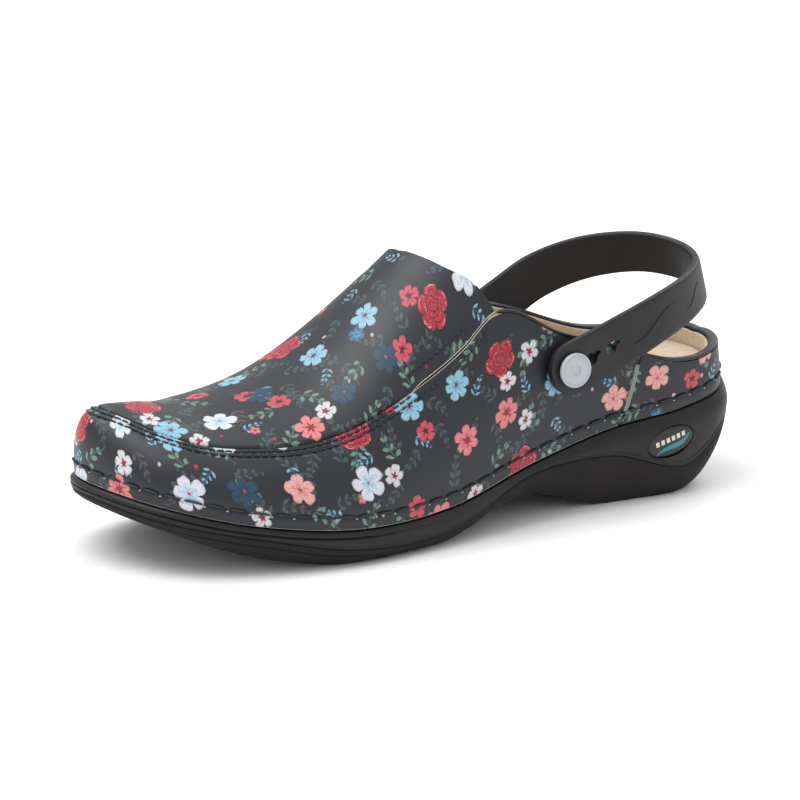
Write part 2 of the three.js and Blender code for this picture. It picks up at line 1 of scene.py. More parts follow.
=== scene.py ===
"""Dresses a slip-on work clog round its fixed frame: printed leather, moulded sole, swinging heel strap.

Lengths are millimetres until a mesh is made, which turns them into metres. Toe towards -Y, lateral side +X.
The upper lies on one foot-shaped surface U(u, t): u runs round the sole's edge, from 0 at the heel's back by
the lateral side to 9 at the toe tip and on by the medial side to 18, and t runs up the wall from 0 to 1 at
the ridge.
"""
import logging
import math
from dataclasses import dataclass, field
from enum import Enum
from typing import Callable, Sequence

import bpy
import numpy as np
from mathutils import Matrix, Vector


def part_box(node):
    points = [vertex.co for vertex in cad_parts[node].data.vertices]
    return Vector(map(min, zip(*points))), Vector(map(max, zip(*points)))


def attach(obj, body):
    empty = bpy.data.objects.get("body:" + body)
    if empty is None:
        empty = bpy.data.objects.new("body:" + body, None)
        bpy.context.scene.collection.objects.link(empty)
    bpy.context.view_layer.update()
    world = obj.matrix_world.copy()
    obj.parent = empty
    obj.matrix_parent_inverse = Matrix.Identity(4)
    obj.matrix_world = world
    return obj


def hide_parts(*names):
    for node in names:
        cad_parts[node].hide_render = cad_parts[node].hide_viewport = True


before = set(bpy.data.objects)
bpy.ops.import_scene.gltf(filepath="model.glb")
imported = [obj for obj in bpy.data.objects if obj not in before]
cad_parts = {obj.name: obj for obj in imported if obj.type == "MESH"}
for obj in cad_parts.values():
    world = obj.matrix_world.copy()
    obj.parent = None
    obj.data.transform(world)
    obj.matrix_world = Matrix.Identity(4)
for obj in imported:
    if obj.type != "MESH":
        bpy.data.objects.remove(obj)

log = logging.getLogger("clog")
Array = np.ndarray
Points = Callable[[Array], Array]
Colour = tuple[float, float, float, float]

MM = 0.001
LAST_STATION = 9
TURN = 2 * LAST_STATION
GAP = 0.3
UV_SPAN = 100
CUT_EDGE = "cut_edge"
SLOPE_STEP = 0.004
NEAR_RIDGE = 0.985
SEAM_TOP = 0.205
SEAM_SPLIT = 0.02
ALONG = np.array([0, 1.0, 0])
UP = np.array([0, 0, 1.0])
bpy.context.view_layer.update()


# ---- curves and surfaces -------------------------------------------------------------------------
class Loop:
    """A closed uniform Catmull-Rom curve through values at the stations, lateral side first."""

    def __init__(self, lateral: Sequence, medial: Sequence | None = None) -> None:
        """Joins the two sides' station values into one ring.

        Args:
            lateral: values from the heel's back to the toe tip.
            medial: the other side's values; the same as lateral where it is left out.
        """
        side = np.asarray(lateral, float)
        other = side if medial is None else np.asarray(medial, float)
        self.values = np.concatenate([side, other[1:-1][::-1]])

    def __call__(self, u: Array) -> Array:
        """Reads the curve: a cubic through four neighbours, with slopes of half their distance.

        Args:
            u: places round the ring, any shape.

        Returns:
            The values, with the shape of u and the values' own last axis.
        """
        u = np.asarray(u, float) % TURN
        i = np.floor(u).astype(int)
        f = u - i
        a, b, c, d = (self.values[(i + k) % TURN] for k in (-1, 0, 1, 2))
        f = f.reshape(f.shape + (1,) * (self.values.ndim - 1))
        line = 2 * b + (c - a) * f
        return 0.5 * (line + (2 * a - 5 * b + 4 * c - d) * f**2 + (3 * b - a - 3 * c + d) * f**3)


class Track:
    """A smooth curve y(x) through freely spaced knots: cubic Hermite pieces with chord slopes."""

    def __init__(self, knots: Sequence[tuple[float, float]]) -> None:
        """Keeps the knots and works out the slope at each from its two neighbours.

        Args:
            knots: (x, y) pairs in order of x.
        """
        self.x, self.y = np.array(knots, float).T
        i = np.arange(len(self.x))
        before, after = np.maximum(i - 1, 0), np.minimum(i + 1, len(i) - 1)
        self.slope = (self.y[after] - self.y[before]) / (self.x[after] - self.x[before])

    def __call__(self, x: Array) -> Array:
        """Reads the curve, held level past its ends.

        Args:
            x: places, any shape.

        Returns:
            The heights at those places.
        """
        i = np.clip(np.searchsorted(self.x, x, side="left") - 1, 0, len(self.x) - 2)
        h = self.x[i + 1] - self.x[i]
        f = np.clip((x - self.x[i]) / h, 0, 1)
        level = self.y[i] * (1 + 2 * f) * (1 - f) ** 2 + self.y[i + 1] * f**2 * (3 - 2 * f)
        return level + ((1 - f) ** 2 * f * self.slope[i] - (1 - f) * f**2 * self.slope[i + 1]) * h


def unit(v: Array) -> Array:
    """Vectors of length one along the last axis."""
    return v / np.maximum(np.linalg.norm(v, axis=-1, keepdims=True), 1e-9)


def smooth(x: Array, low: float, high: float) -> Array:
    """0 up to low, 1 from high, and 3s^2 - 2s^3 between."""
    s = np.clip((x - low) / (high - low), 0, 1)
    return s * s * (3 - 2 * s)


def bell(x: Array, width: float) -> Array:
    """A hump of height 1 at 0: exp(-(x / width)^2)."""
    return np.exp(-((x / width) ** 2))


def lengths(points: Array) -> Array:
    """Running lengths along the first axis of a row of points, from 0."""
    steps = np.linalg.norm(np.diff(points, axis=0), axis=-1)
    return np.concatenate([np.zeros((1,) + steps.shape[1:]), np.cumsum(steps, axis=0)])


def eased(count: int, pull: float) -> Array:
    """Places from 0 to 1 that lie closer together near both ends: x - pull sin(2 pi x) / (2 pi)."""
    x = np.linspace(0, 1, count)
    return x - np.sin(2 * np.pi * x) * pull / (2 * np.pi)


def squarish(x: Array, power: float) -> Array:
    """A cosine or sine bent towards a square's: its size raised to a power, with its sign kept."""
    return np.sign(x) * np.abs(x) ** power


def oval(count: int, along: float, tall: float) -> Array:
    """Points round an ellipse with the two half axes given."""
    angle = np.linspace(0, 2 * np.pi, count, endpoint=False)
    return np.stack([np.cos(angle) * along, np.sin(angle) * tall], -1)


def measured(box: Sequence) -> tuple[Array, Array]:
    """A box's middle and size, turned from metres into millimetres."""
    low, high = (np.array(corner) / MM for corner in box)
    return (low + high) / 2, high - low


def chord_slope(points: Sequence[Array], steps: Sequence[Array]) -> Array:
    """The slope at the middle of three points, from the spacings before and after it."""
    (a, b, c), (m, n) = points, steps
    return (b - a) / m - (c - a) / (m + n) + (c - b) / n


@dataclass
class FootForm:
    """The foot shape that the upper is drawn over, by its stations from the heel's back to the toe tip."""

    edge_lateral: Sequence = (
        (-2.5, 127), (22, 118), (29.5, 96), (30, 64), (34.5, 28),
        (43, -10), (47.5, -48), (41, -84), (24.5, -113), (-7.5, -127),
    )
    edge_medial: Sequence = (
        (-2.5, 127), (-27, 118), (-34.5, 96), (-33.5, 62), (-32.5, 26),
        (-38.5, -16), (-47.5, -56), (-45.5, -90), (-33.5, -115), (-7.5, -127),
    )
    edge_z_lateral: Sequence = (41.2, 36.2, 32.2, 28.7, 21.7, 13.7, 12.7, 17.2, 24.2, 28.2)
    edge_z_medial: Sequence = (41.2, 36.2, 32.2, 30.2, 24.2, 16.2, 13.7, 18.2, 24.7, 28.2)
    ridge_line: Sequence = (
        (-2.5, 100, 136.2), (-2.5, 94, 139.2), (-2.5, 82, 141.2), (-2.5, 60, 139.2), (-3.5, 27, 120.2),
        (-5.5, -8, 91.2), (-7.5, -46, 60.6), (-8.5, -79, 50.4), (-9.5, -100, 51.6), (-9.5, -112, 53),
    )
    rise_lateral: Sequence = (28, 28, 30, 34, 38, 34, 28, 22, 20.3, 22.5)
    rise_medial: Sequence = (28, 28, 30, 34, 38, 36, 30, 24, 21.3, 22.5)
    crown_reach: Sequence = (10, 14, 18, 20, 22, 24, 28, 24, 14.7, 13)
    foot_lean: Sequence = (0.5, 0.5, 1, 1.5, 2.5, 3, 3, 2.5, 2, 1.5)
    collar_line: Sequence = (
        (0, 0.113), (1, 0.155), (1.7, 0.156), (2.3, 0.182), (3, 0.25), (3.6, 0.325),
        (4.25, 0.468), (4.7, 0.452), (5.2, 0.445), (6.4, 0.452), (7, 0.483), (7.55, 0.506),
        (8, 0.553), (8.4, 0.641), (8.7, 0.705), (9, 0.735), (9.3, 0.705),
    )
    tongue_line: Sequence = ((0, 4.29), (0.25, 4.44), (0.5, 4.64), (0.75, 4.78), (1, 4.86))
    side_seam: Sequence = ((0, 2.86), (0.1, 2.72), (SEAM_TOP, 2.58))

    def __post_init__(self) -> None:
        """Makes the rings and tracks from the station values."""
        self.edge = Loop(self.edge_lateral, self.edge_medial)
        self.edge_z = Loop(self.edge_z_lateral, self.edge_z_medial)
        self.ridge = Loop(self.ridge_line)
        line = np.array(self.ridge_line, float)
        i = np.arange(len(line))
        before, after = line[np.maximum(i - 1, 0)], line[np.minimum(i + 1, LAST_STATION)]
        self.ridge_slope = Loop((after - before)[:, 2] / np.hypot(*(after - before)[:, :2].T))
        self.rise = Loop(self.rise_lateral, self.rise_medial)
        self.reach = Loop(self.crown_reach)
        self.lean = Loop(self.foot_lean)
        self.collar_track = Track(self.collar_line)
        self.tongue = Track(self.tongue_line)
        self.seam = Track(self.side_seam)

    def fold(self, u: Array) -> Array:
        """The station 0 to 9 that a place on either side stands at."""
        u = np.asarray(u, float) % TURN
        return np.minimum(u, TURN - u)

    def collar(self, u: Array) -> Array:
        """The wall height t at which the upper is cut: collar, slit and toe seam in turn."""
        return self.collar_track(self.fold(u))

    def normal(self, u: Array) -> Array:
        """The direction straight out of the sole's edge in plan: its tangent turned a quarter."""
        d = unit(self.edge(u + 1e-3) - self.edge(u - 1e-3))
        return np.stack([-d[..., 1], d[..., 0]], -1)

    def rim(self, u: Array, offset: Array | float, z: Array) -> Array:
        """The sole's edge moved outwards by offset, at height z."""
        xy = self.edge(u) + self.normal(u) * np.asarray(offset, float)[..., None]
        return np.concatenate([xy, np.broadcast_to(z, xy.shape[:-1])[..., None]], -1)

    def wall(self, u: Array, t: Array) -> Array:
        """The foot surface: a cubic Bezier curve from the edge, steep at its foot and level at the ridge.

        Args:
            u: places round the edge.
            t: heights up the wall, 0 to 1, of the same shape.

        Returns:
            Points in millimetres.
        """
        foot = self.rim(u, np.zeros_like(u), self.edge_z(u))
        top = self.ridge(u)
        across = unit(top[..., :2] - foot[..., :2])
        out = self.normal(u) * self.lean(u)[..., None]
        first = foot + np.concatenate([out, self.rise(u)[..., None]], -1)
        reach = self.reach(u)[..., None]
        drop = self.ridge_slope(u)[..., None] * -across[..., 1:] * reach
        last = top - np.concatenate([across * reach, drop], -1)
        t = np.asarray(t, float)[..., None]
        return (1 - t) ** 3 * foot + 3 * (1 - t) ** 2 * t * first + 3 * (1 - t) * t**2 * last + t**3 * top

    def wall_normal(self, u: Array, t: Array) -> Array:
        """The outward unit normal: the cross product of the slopes along t and u.

        Args:
            u: places round the edge.
            t: heights up the wall, of the same shape.

        Returns:
            Unit vectors, with a last axis of three.
        """
        step = SLOPE_STEP
        low = np.clip(t, step, NEAR_RIDGE - step)
        along_u = self.wall(u + step, low) - self.wall(u - step, low)
        along_t = self.wall(u, low + step) - self.wall(u, low - step)
        return unit(np.cross(along_t, along_u))

    def skin(self, u: Array, t: Array, depth: Array | float = 0.0) -> Array:
        """The foot surface moved out along its normal by depth."""
        return self.wall(u, t) + self.wall_normal(u, t) * np.asarray(depth, float)[..., None]

    def steepness(self, u: Array, t: Array) -> Array:
        """Millimetres of wall to one unit of t, over a small step each way."""
        rise = self.wall(u, t + SLOPE_STEP) - self.wall(u, t - SLOPE_STEP)
        return np.linalg.norm(rise, axis=-1) / (2 * SLOPE_STEP)

    def down(self, u: Array, t: Array, distance: Array | float) -> Array:
        """The t that lies a given distance in millimetres down the wall from t."""
        return t - distance / self.steepness(u, t)

    def height_t(self, u: Array, height: float) -> Array:
        """The t at which the wall stands a given height above the sole's edge, by halving.

        Args:
            u: places round the edge.
            height: millimetres above the edge.

        Returns:
            Heights t of the same shape as u.
        """
        low, high = np.zeros_like(u, float), np.full_like(u, 0.5, float)
        for _ in range(18):
            middle = (low + high) / 2
            below = self.wall(u, middle)[..., 2] - self.edge_z(u) < height
            low, high = np.where(below, middle, low), np.where(below, high, middle)
        return low

    def over_ridge(self, s: Array, v: Array, low: Array) -> tuple[Array, Array]:
        """Turns a station s and a place v across the ridge, -1 lateral to 1 medial, into u and t."""
        return np.where(v < 0, s, TURN - s), low + (1 - low) * (1 - np.abs(v))


# ---- meshes --------------------------------------------------------------------------------------
def make_mesh(
    name: str, points: Array, faces: Array, uv: Array | None = None, mark: Array | None = None
) -> bpy.types.Object:
    """Puts vertices and faces into a new object at the origin, with doubles merged and faces turned outwards.

    Args:
        name: the piece's name.
        points: vertices in millimetres, (n, 3).
        faces: corner indices, (m, 4); a face that merging folds to a line is left out.
        uv: pattern coordinates in millimetres for each vertex, (n, 2).
        mark: how far each vertex shows the raw cut edge, 0 to 1, (n,).

    Returns:
        The new object.
    """
    if signed_volume(points, faces) < 0:
        faces = faces[:, ::-1]
    _, first, inverse = np.unique(np.round(points, 4), axis=0, return_index=True, return_inverse=True)
    corners = inverse.reshape(-1)[faces]
    same = corners == np.roll(corners, -1, axis=1)
    whole = same.sum(1) < 2
    kept = ~same & whole[:, None]
    sizes = kept.sum(1)[whole]
    mesh = bpy.data.meshes.new(name)
    mesh.vertices.add(len(first))
    mesh.vertices.foreach_set("co", (points[first] * MM).astype(np.float32).ravel())
    mesh.loops.add(int(sizes.sum()))
    mesh.loops.foreach_set("vertex_index", corners[kept].astype(np.int32))
    mesh.polygons.add(len(sizes))
    mesh.polygons.foreach_set("loop_start", (np.cumsum(sizes) - sizes).astype(np.int32))
    mesh.update(calc_edges=True)
    if uv is not None:
        layer = mesh.uv_layers.new(name="pattern")
        layer.data.foreach_set("uv", (uv[faces[kept]] / UV_SPAN).astype(np.float32).ravel())
    if mark is not None:
        shown = mesh.attributes.new(CUT_EDGE, "FLOAT", "POINT")
        shown.data.foreach_set("value", mark[first].astype(np.float32))
    mesh.polygons.foreach_set("use_smooth", np.ones(len(mesh.polygons), bool))
    mesh.validate()
    piece = bpy.data.objects.new(name, mesh)
    bpy.context.scene.collection.objects.link(piece)
    return piece


def signed_volume(points: Array, faces: Array) -> float:
    """Six times the volume inside quads: the sum of a . (b x c) over their triangles."""
    a, b, c, d = (points[faces[:, k]] for k in range(4))
    return float((a * (np.cross(b, c) + np.cross(c, d))).sum())


def grid_faces(rows: int, columns: int, start: int = 0, close_rows: bool = False) -> Array:
    """Quads of a grid of vertices numbered row by row.

    Args:
        rows: rows of vertices.
        columns: vertices in a row.
        start: number of the first vertex.
        close_rows: whether the last column joins the first.

    Returns:
        Corner indices, (cells, 4).
    """
    i, j = np.meshgrid(np.arange(rows - 1), np.arange(columns if close_rows else columns - 1), indexing="ij")
    k = (j + 1) % columns
    cell = np.stack([i * columns + j, (i + 1) * columns + j, (i + 1) * columns + k, i * columns + k], -1)
    return cell.reshape(-1, 4) + start


def shell(
    name: str, outer: Array, inner: Array, uv: Array, mark: Array | None = None, folded: bool = False
) -> bpy.types.Object:
    """A plate between two grids of points, with walls round its border.

    Args:
        name: the piece's name.
        outer: outer points, (rows, columns, 3).
        inner: inner points of the same shape.
        uv: pattern coordinates in millimetres, (rows, columns, 2).
        mark: how far each outer point shows the raw cut edge, (rows, columns).
        folded: whether the last row folds on to itself, so that it has no wall.

    Returns:
        The new object.
    """
    rows, columns = outer.shape[:2]
    n = rows * columns
    ids = np.arange(n).reshape(rows, columns)
    borders = [ids[0], ids[:, -1], ids[:, 0][::-1]] + ([] if folded else [ids[-1][::-1]])
    walls = [np.stack([b[:-1], b[1:], b[1:] + n, b[:-1] + n], -1) for b in borders]
    top = grid_faces(rows, columns)
    faces = np.concatenate([top, top[:, ::-1] + n] + walls)
    points = np.concatenate([outer.reshape(-1, 3), inner.reshape(-1, 3)])
    marks = None if mark is None else np.concatenate([mark.ravel(), np.ones(n)])
    return make_mesh(name, points, faces, np.concatenate([uv.reshape(-1, 2)] * 2), marks)


def stacked(
    name: str, rings: Array, sag: float = 0.0, rungs: int = 60, tread: Points | None = None
) -> bpy.types.Object:
    """A solid with one wall round the shoe and a laddered cap across its first and last ring.

    Args:
        name: the piece's name.
        rings: wall points from the top inner ring to the bottom inner ring, (rings, steps, 3), steps even.
        sag: how far the top cap's middle lies below its rim, in millimetres.
        rungs: cells across a cap.
        tread: how far each point of the bottom cap is moved up, from its x and y.

    Returns:
        The new object.
    """
    count, steps = rings.shape[:2]
    half = steps // 2
    w = np.linspace(0, 1, rungs + 1)[None, :, None]
    k = np.arange(half + 1)
    dip = 4 * w[..., 0] * (1 - w[..., 0]) * np.sin(np.pi * k / half)[:, None]

    def cap(ring: Array, depth: float) -> Array:
        """Straight rungs from the lateral to the medial side, sagging as a parabola.

        Args:
            ring: the end ring.
            depth: how far the middle sags.

        Returns:
            The cap's grid of points.
        """
        p = ring[k][:, None] * (1 - w) + ring[(steps - k) % steps][:, None] * w
        p[..., 2] -= depth * dip
        return p

    caps = [cap(rings[0], sag), cap(rings[-1], 0.0)]
    if tread is not None:
        caps[1][1:-1, 1:-1, 2] += tread(caps[1][1:-1, 1:-1])
    base = count * steps
    wall = grid_faces(count, steps, close_rows=True)
    lids = [grid_faces(half + 1, rungs + 1, base + i * (half + 1) * (rungs + 1)) for i in range(2)]
    faces = np.concatenate([wall, lids[0], lids[1][:, ::-1]])
    flat = [c.reshape(-1, 3) for c in caps]
    return make_mesh(name, np.concatenate([rings.reshape(-1, 3)] + flat), faces)


def tube(name: str, centres: Array, side: Array, up: Array, radius: Array, sides: int) -> bpy.types.Object:
    """Round strands along rows of centres, closed to a point at each end where the radius is 0.

    Args:
        name: the piece's name.
        centres: (strands, points, 3).
        side: unit vectors across, of the same shape.
        up: unit vectors up, of the same shape.
        radius: radii of the same shape without the last axis.
        sides: corners of the round section.

    Returns:
        The new object, with a pattern that counts millimetres along and round each strand.
    """
    strands, count = centres.shape[:2]
    angle = np.linspace(0, 2 * np.pi, sides, endpoint=False)
    ring = side[:, :, None] * np.cos(angle)[:, None] + up[:, :, None] * np.sin(angle)[:, None]
    points = centres[:, :, None] + ring * radius[:, :, None, None]
    one = grid_faces(count, sides, close_rows=True)
    faces = (one[None] + (np.arange(strands) * count * sides)[:, None, None]).reshape(-1, 4)
    along = np.stack([lengths(c) for c in centres])
    uv = np.stack(np.broadcast_arrays(along[:, :, None], (angle * radius.max())[None, None]), -1)
    return make_mesh(name, points.reshape(-1, 3), faces, uv.reshape(-1, 2))


def finish_piece(
    piece: bpy.types.Object, body: str, slot: str, material: bpy.types.Material, *nodes: str
) -> None:
    """Dresses a piece, lets it ride on a body and stand for its frame nodes, and logs it.

    Args:
        piece: the new piece.
        body: the body it rides on.
        slot: the record's material slot; not used.
        material: its finish.
        nodes: frame nodes that it stands for.
    """
    piece.data.materials.append(material)
    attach(piece, body)
    if nodes:
        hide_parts(*nodes)
    log.info("%s: %d faces on %s", piece.name, len(piece.data.polygons), body)


def soften(piece: bpy.types.Object, width: float, segments: int = 2, angle: float = 50.0) -> None:
    """Rounds a piece's sharp edges with a live bevel.

    Args:
        piece: the piece.
        width: the bevel's width in millimetres.
        segments: how many faces round an edge.
        angle: the least angle of an edge that is rounded, in degrees.
    """
    bevel = piece.modifiers.new("soft_edges", "BEVEL")
    bevel.width = width * MM
    bevel.segments = segments
    bevel.limit_method = "ANGLE"
    bevel.angle_limit = math.radians(angle)


def carve(piece: bpy.types.Object, tools: Sequence[bpy.types.Object], sharp: float = 40.0) -> None:
    """Takes closed tools away from a piece and removes them, then marks its sharp edges.

    Args:
        piece: the piece.
        tools: closed bodies to take away.
        sharp: the least angle of a sharp edge, in degrees.
    """
    for tool in tools:
        cut = piece.modifiers.new("cut", "BOOLEAN")
        cut.operation = "DIFFERENCE"
        cut.solver = "EXACT"
        cut.object = tool
    bpy.context.view_layer.update()
    seen = piece.evaluated_get(bpy.context.evaluated_depsgraph_get())
    piece.data = bpy.data.meshes.new_from_object(seen)
    piece.modifiers.clear()
    for tool in tools:
        bpy.data.objects.remove(tool)
    piece.data.set_sharp_from_angle(angle=math.radians(sharp))


def turned(name: str, centre: Array, profile: Sequence, side: int, sides: int = 72) -> bpy.types.Object:
    """A body turned about the X direction: circles of the profile's radii at its places along X.

    Args:
        name: the piece's name.
        centre: its centre in millimetres.
        profile: (x, radius) pairs that start and end on the axis.
        side: 1 where the profile's x points to +X and -1 where it points to -X.
        sides: corners of a circle.

    Returns:
        The new object.
    """
    x, r = np.array(profile, float).T
    angle = np.linspace(0, 2 * np.pi, sides, endpoint=False)
    ring = np.stack([np.zeros_like(angle), np.cos(angle), np.sin(angle)], -1)
    points = centre + ring[None] * r[:, None, None]
    points[..., 0] += (x * side)[:, None]
    piece = make_mesh(name, points.reshape(-1, 3), grid_faces(len(x), sides, close_rows=True))
    piece.data.set_sharp_from_angle(angle=math.radians(32))
    return piece


def prism(outline: Array, centre: Array, across: Array, up: Array, depth: float) -> bpy.types.Object:
    """A cutter: an outline in the plane of two directions, carried both ways along their cross product.

    Args:
        outline: (n, 2) in millimetres.
        centre: the outline's origin.
        across: unit vector of the outline's first axis.
        up: unit vector of its second axis.
        depth: how far it reaches each way.

    Returns:
        The new object.
    """
    flat = centre + outline[:, :1] * across + outline[:, 1:] * up
    out = np.cross(across, up) * depth
    near, far = (np.broadcast_to(centre + way * out, flat.shape) for way in (-1, 1))
    rows = np.concatenate([near, flat - out, flat + out, far])
    return make_mesh("cutter", rows, grid_faces(4, len(flat), close_rows=True))


# ---- finishes ------------------------------------------------------------------------------------
def paint(code: str) -> Colour:
    """Turns an sRGB hex colour to linear light, with an alpha of 1."""
    channels = (int(code[k:k + 2], 16) / 255 for k in (1, 3, 5))
    return (*(c / 12.92 if c <= 0.04045 else ((c + 0.055) / 1.055) ** 2.4 for c in channels), 1.0)


class Wire:
    """One output of a node, which arithmetic carries on into further nodes."""

    def __init__(self, tree: "Tree", node: bpy.types.Node, out: int | str = 0) -> None:
        """Keeps the tree, the node and which of its outputs this is."""
        self.tree, self.node, self.out = tree, node, out

    def __getitem__(self, out: int | str) -> "Wire":
        """Another output of the same node."""
        return Wire(self.tree, self.node, out)

    def __add__(self, other: "Wire | float") -> "Wire":
        """Sum."""
        return self.tree.put("Math", self, other, operation="ADD")

    def __sub__(self, other: "Wire | float") -> "Wire":
        """Difference."""
        return self.tree.put("Math", self, other, operation="SUBTRACT")

    def __rsub__(self, other: float) -> "Wire":
        """Difference from a number."""
        return self.tree.put("Math", other, self, operation="SUBTRACT")

    def __mul__(self, other: "Wire | float") -> "Wire":
        """Product."""
        return self.tree.put("Math", self, other, operation="MULTIPLY")

    def __truediv__(self, other: "Wire | float") -> "Wire":
        """Quotient."""
        return self.tree.put("Math", self, other, operation="DIVIDE")

    def __pow__(self, other: float) -> "Wire":
        """Power."""
        return self.tree.put("Math", self, other, operation="POWER")

    def __lt__(self, other: "Wire | float") -> "Wire":
        """1 where it is less, else 0."""
        return self.tree.put("Math", self, other, operation="LESS_THAN")

    def __gt__(self, other: "Wire | float") -> "Wire":
        """1 where it is greater, else 0."""
        return self.tree.put("Math", self, other, operation="GREATER_THAN")

    def __abs__(self) -> "Wire":
        """Size without its sign."""
        return self.tree.put("Math", self, operation="ABSOLUTE")

    __radd__, __rmul__ = __add__, __mul__


class Tree:
    """A material's nodes, added one by one by put."""

    def __init__(self, name: str) -> None:
        """Starts an empty material.

        Args:
            name: the material's name.
        """
        self.material = bpy.data.materials.new(name)
        self.material.use_nodes = True
        self.material.node_tree.nodes.clear()

    def put(
        self, kind: str, *inputs: object, stops: Sequence = (), named: dict | None = None, **settings: object
    ) -> Wire:
        """Adds a node with its settings and links.

        Args:
            kind: the node's type without "ShaderNode".
            inputs: wires or values for its sockets in order; None leaves a socket as it is.
            stops: (place, colour) pairs for a colour ramp.
            named: wires or values for sockets by name.
            settings: the node's own properties.

        Returns:
            Its first output.
        """
        node = self.material.node_tree.nodes.new("ShaderNode" + kind)
        for key, value in settings.items():
            setattr(node, key, value)
        for place, colour in stops[2:]:
            node.color_ramp.elements.new(place)
        for element, (place, colour) in zip(node.color_ramp.elements if stops else (), stops):
            element.position, element.color = place, colour
        for key, value in [*enumerate(inputs), *(named or {}).items()]:
            if isinstance(value, Wire):
                self.material.node_tree.links.new(value.node.outputs[value.out], node.inputs[key])
            elif value is not None:
                node.inputs[key].default_value = value
        return Wire(self, node)

    def surface(
        self, colour: Wire, roughness: Wire | float, height: Wire, step: float, **sockets: object
    ) -> bpy.types.Material:
        """Ends the material with a plain shader whose bump is the height in millimetres.

        Args:
            colour: base colour.
            roughness: gloss, 0 mirror to 1 matt.
            height: bump from 0 to 1.
            step: how high 1 stands, in millimetres.
            sockets: constant values for other sockets, with _ for a space.

        Returns:
            The finished material.
        """
        bump = self.put("Bump", 1.0, step * MM, named={"Height": height})
        fixed = {key.replace("_", " "): value for key, value in sockets.items()}
        linked = {"Base Color": colour, "Roughness": roughness, "Normal": bump}
        shader = self.put("BsdfPrincipled", named={**linked, **fixed})
        self.put("OutputMaterial", shader)
        return self.material


@dataclass(frozen=True)
class Grainy:
    """A finish whose colour wanders between two shades and whose surface carries one grain.

    Attributes:
        name: what the material is and how it was made.
        shades: two sRGB colours.
        roughness: lowest and highest gloss value.
        grain: size of the grain in millimetres.
        depth: height of the grain in millimetres.
        cloud: size of the colour's patches in millimetres.
        sockets: constant shader values.
    """

    name: str
    shades: tuple[str, str]
    roughness: tuple[float, float]
    grain: float
    depth: float
    cloud: float = 12.0
    sockets: dict = field(default_factory=dict)

    def material(self) -> bpy.types.Material:
        """Object coordinates in millimetres feed a coarse noise for colour and a fine one for gloss and bump.

        Returns:
            The finished material.
        """
        t = Tree(self.name)
        place = t.put("VectorMath", t.put("TexCoord")["Object"], named={"Scale": 1 / MM}, operation="SCALE")
        cloud = t.put("TexNoise", place, named={"Scale": 1 / self.cloud, "Detail": 4.0})
        grain = t.put("TexNoise", place, named={"Scale": 1 / self.grain, "Detail": 3.0, "Roughness": 0.6})
        mix = t.put("MapRange", cloud * 0.7 + grain * 0.3, 0.35, 0.65, 0.0, 1.0)
        colour = t.put("MixRGB", mix, paint(self.shades[0]), paint(self.shades[1]))
        gloss = t.put("MapRange", grain, 0.3, 0.7, *self.roughness)
        return t.surface(colour, gloss, grain, self.depth, **self.sockets)


@dataclass(frozen=True)
class Woven:
    """Elastic webbing or felt: ribs one way, crossed by finer threads, both by sine waves."""

    name: str
    shades: tuple[str, str]
    rib: float
    depth: float

    def material(self) -> bpy.types.Material:
        """Height is a weighted sum of two waves, and the hollows take the darker colour as painted shade.

        Returns:
            The finished material.
        """
        t = Tree(self.name)
        place = t.put("VectorMath", t.put("TexCoord")["Object"], named={"Scale": 1 / MM}, operation="SCALE")
        turn = 2 * math.pi / self.rib
        axes = t.put("SeparateXYZ", place)
        ribs = abs(t.put("Math", axes["Y"] * turn, operation="SINE"))
        threads = abs(t.put("Math", axes["Z"] * turn * 1.6, operation="SINE"))
        weave = ribs * 0.6 + threads * 0.4
        # painted shade: the colour follows the weave's height, darker in the hollows
        colour = t.put("MixRGB", weave, paint(self.shades[0]), paint(self.shades[1]))
        return t.surface(colour, 0.85, weave, self.depth, Sheen_Weight=0.3)


@dataclass(frozen=True)
class Twisted:
    """Waxed sewing thread: plies wind round each strand, as a slanted wave on the strand's own pattern."""

    name: str
    shades: tuple[str, str]
    lay: float
    roughness: float

    def material(self) -> bpy.types.Material:
        """The wave runs along the strand once in each lay, and the grooves between plies are painted darker
        than the crests as painted shade.

        Returns:
            The finished material.
        """
        t = Tree(self.name)
        axes = t.put("SeparateXYZ", t.put("UVMap", uv_map="pattern"))
        phase = (axes["X"] + axes["Y"]) * (UV_SPAN * 2 * math.pi / self.lay)
        ply = t.put("MapRange", t.put("Math", phase, operation="SINE"), -1.0, 1.0, 0.0, 1.0)
        # painted shade: the colour follows the ply's height, dark in the grooves and light on the crests
        colour = t.put("MixRGB", ply, paint(self.shades[0]), paint(self.shades[1]))
        return t.surface(colour, self.roughness, ply, 0.12)


@dataclass(frozen=True)
class Bloom:
    """One kind of printed flower.

    Attributes:
        share: how often it is drawn.
        petals: how many petals it has.
        radius: its radius in millimetres.
        middle: the share of the radius that its centre takes up.
        petal: colour of the petals.
        throat: colour of the petals' inner ends.
        eye: colour of the centre.
    """

    share: float
    petals: int
    radius: float
    middle: float
    petal: str
    throat: str
    eye: str


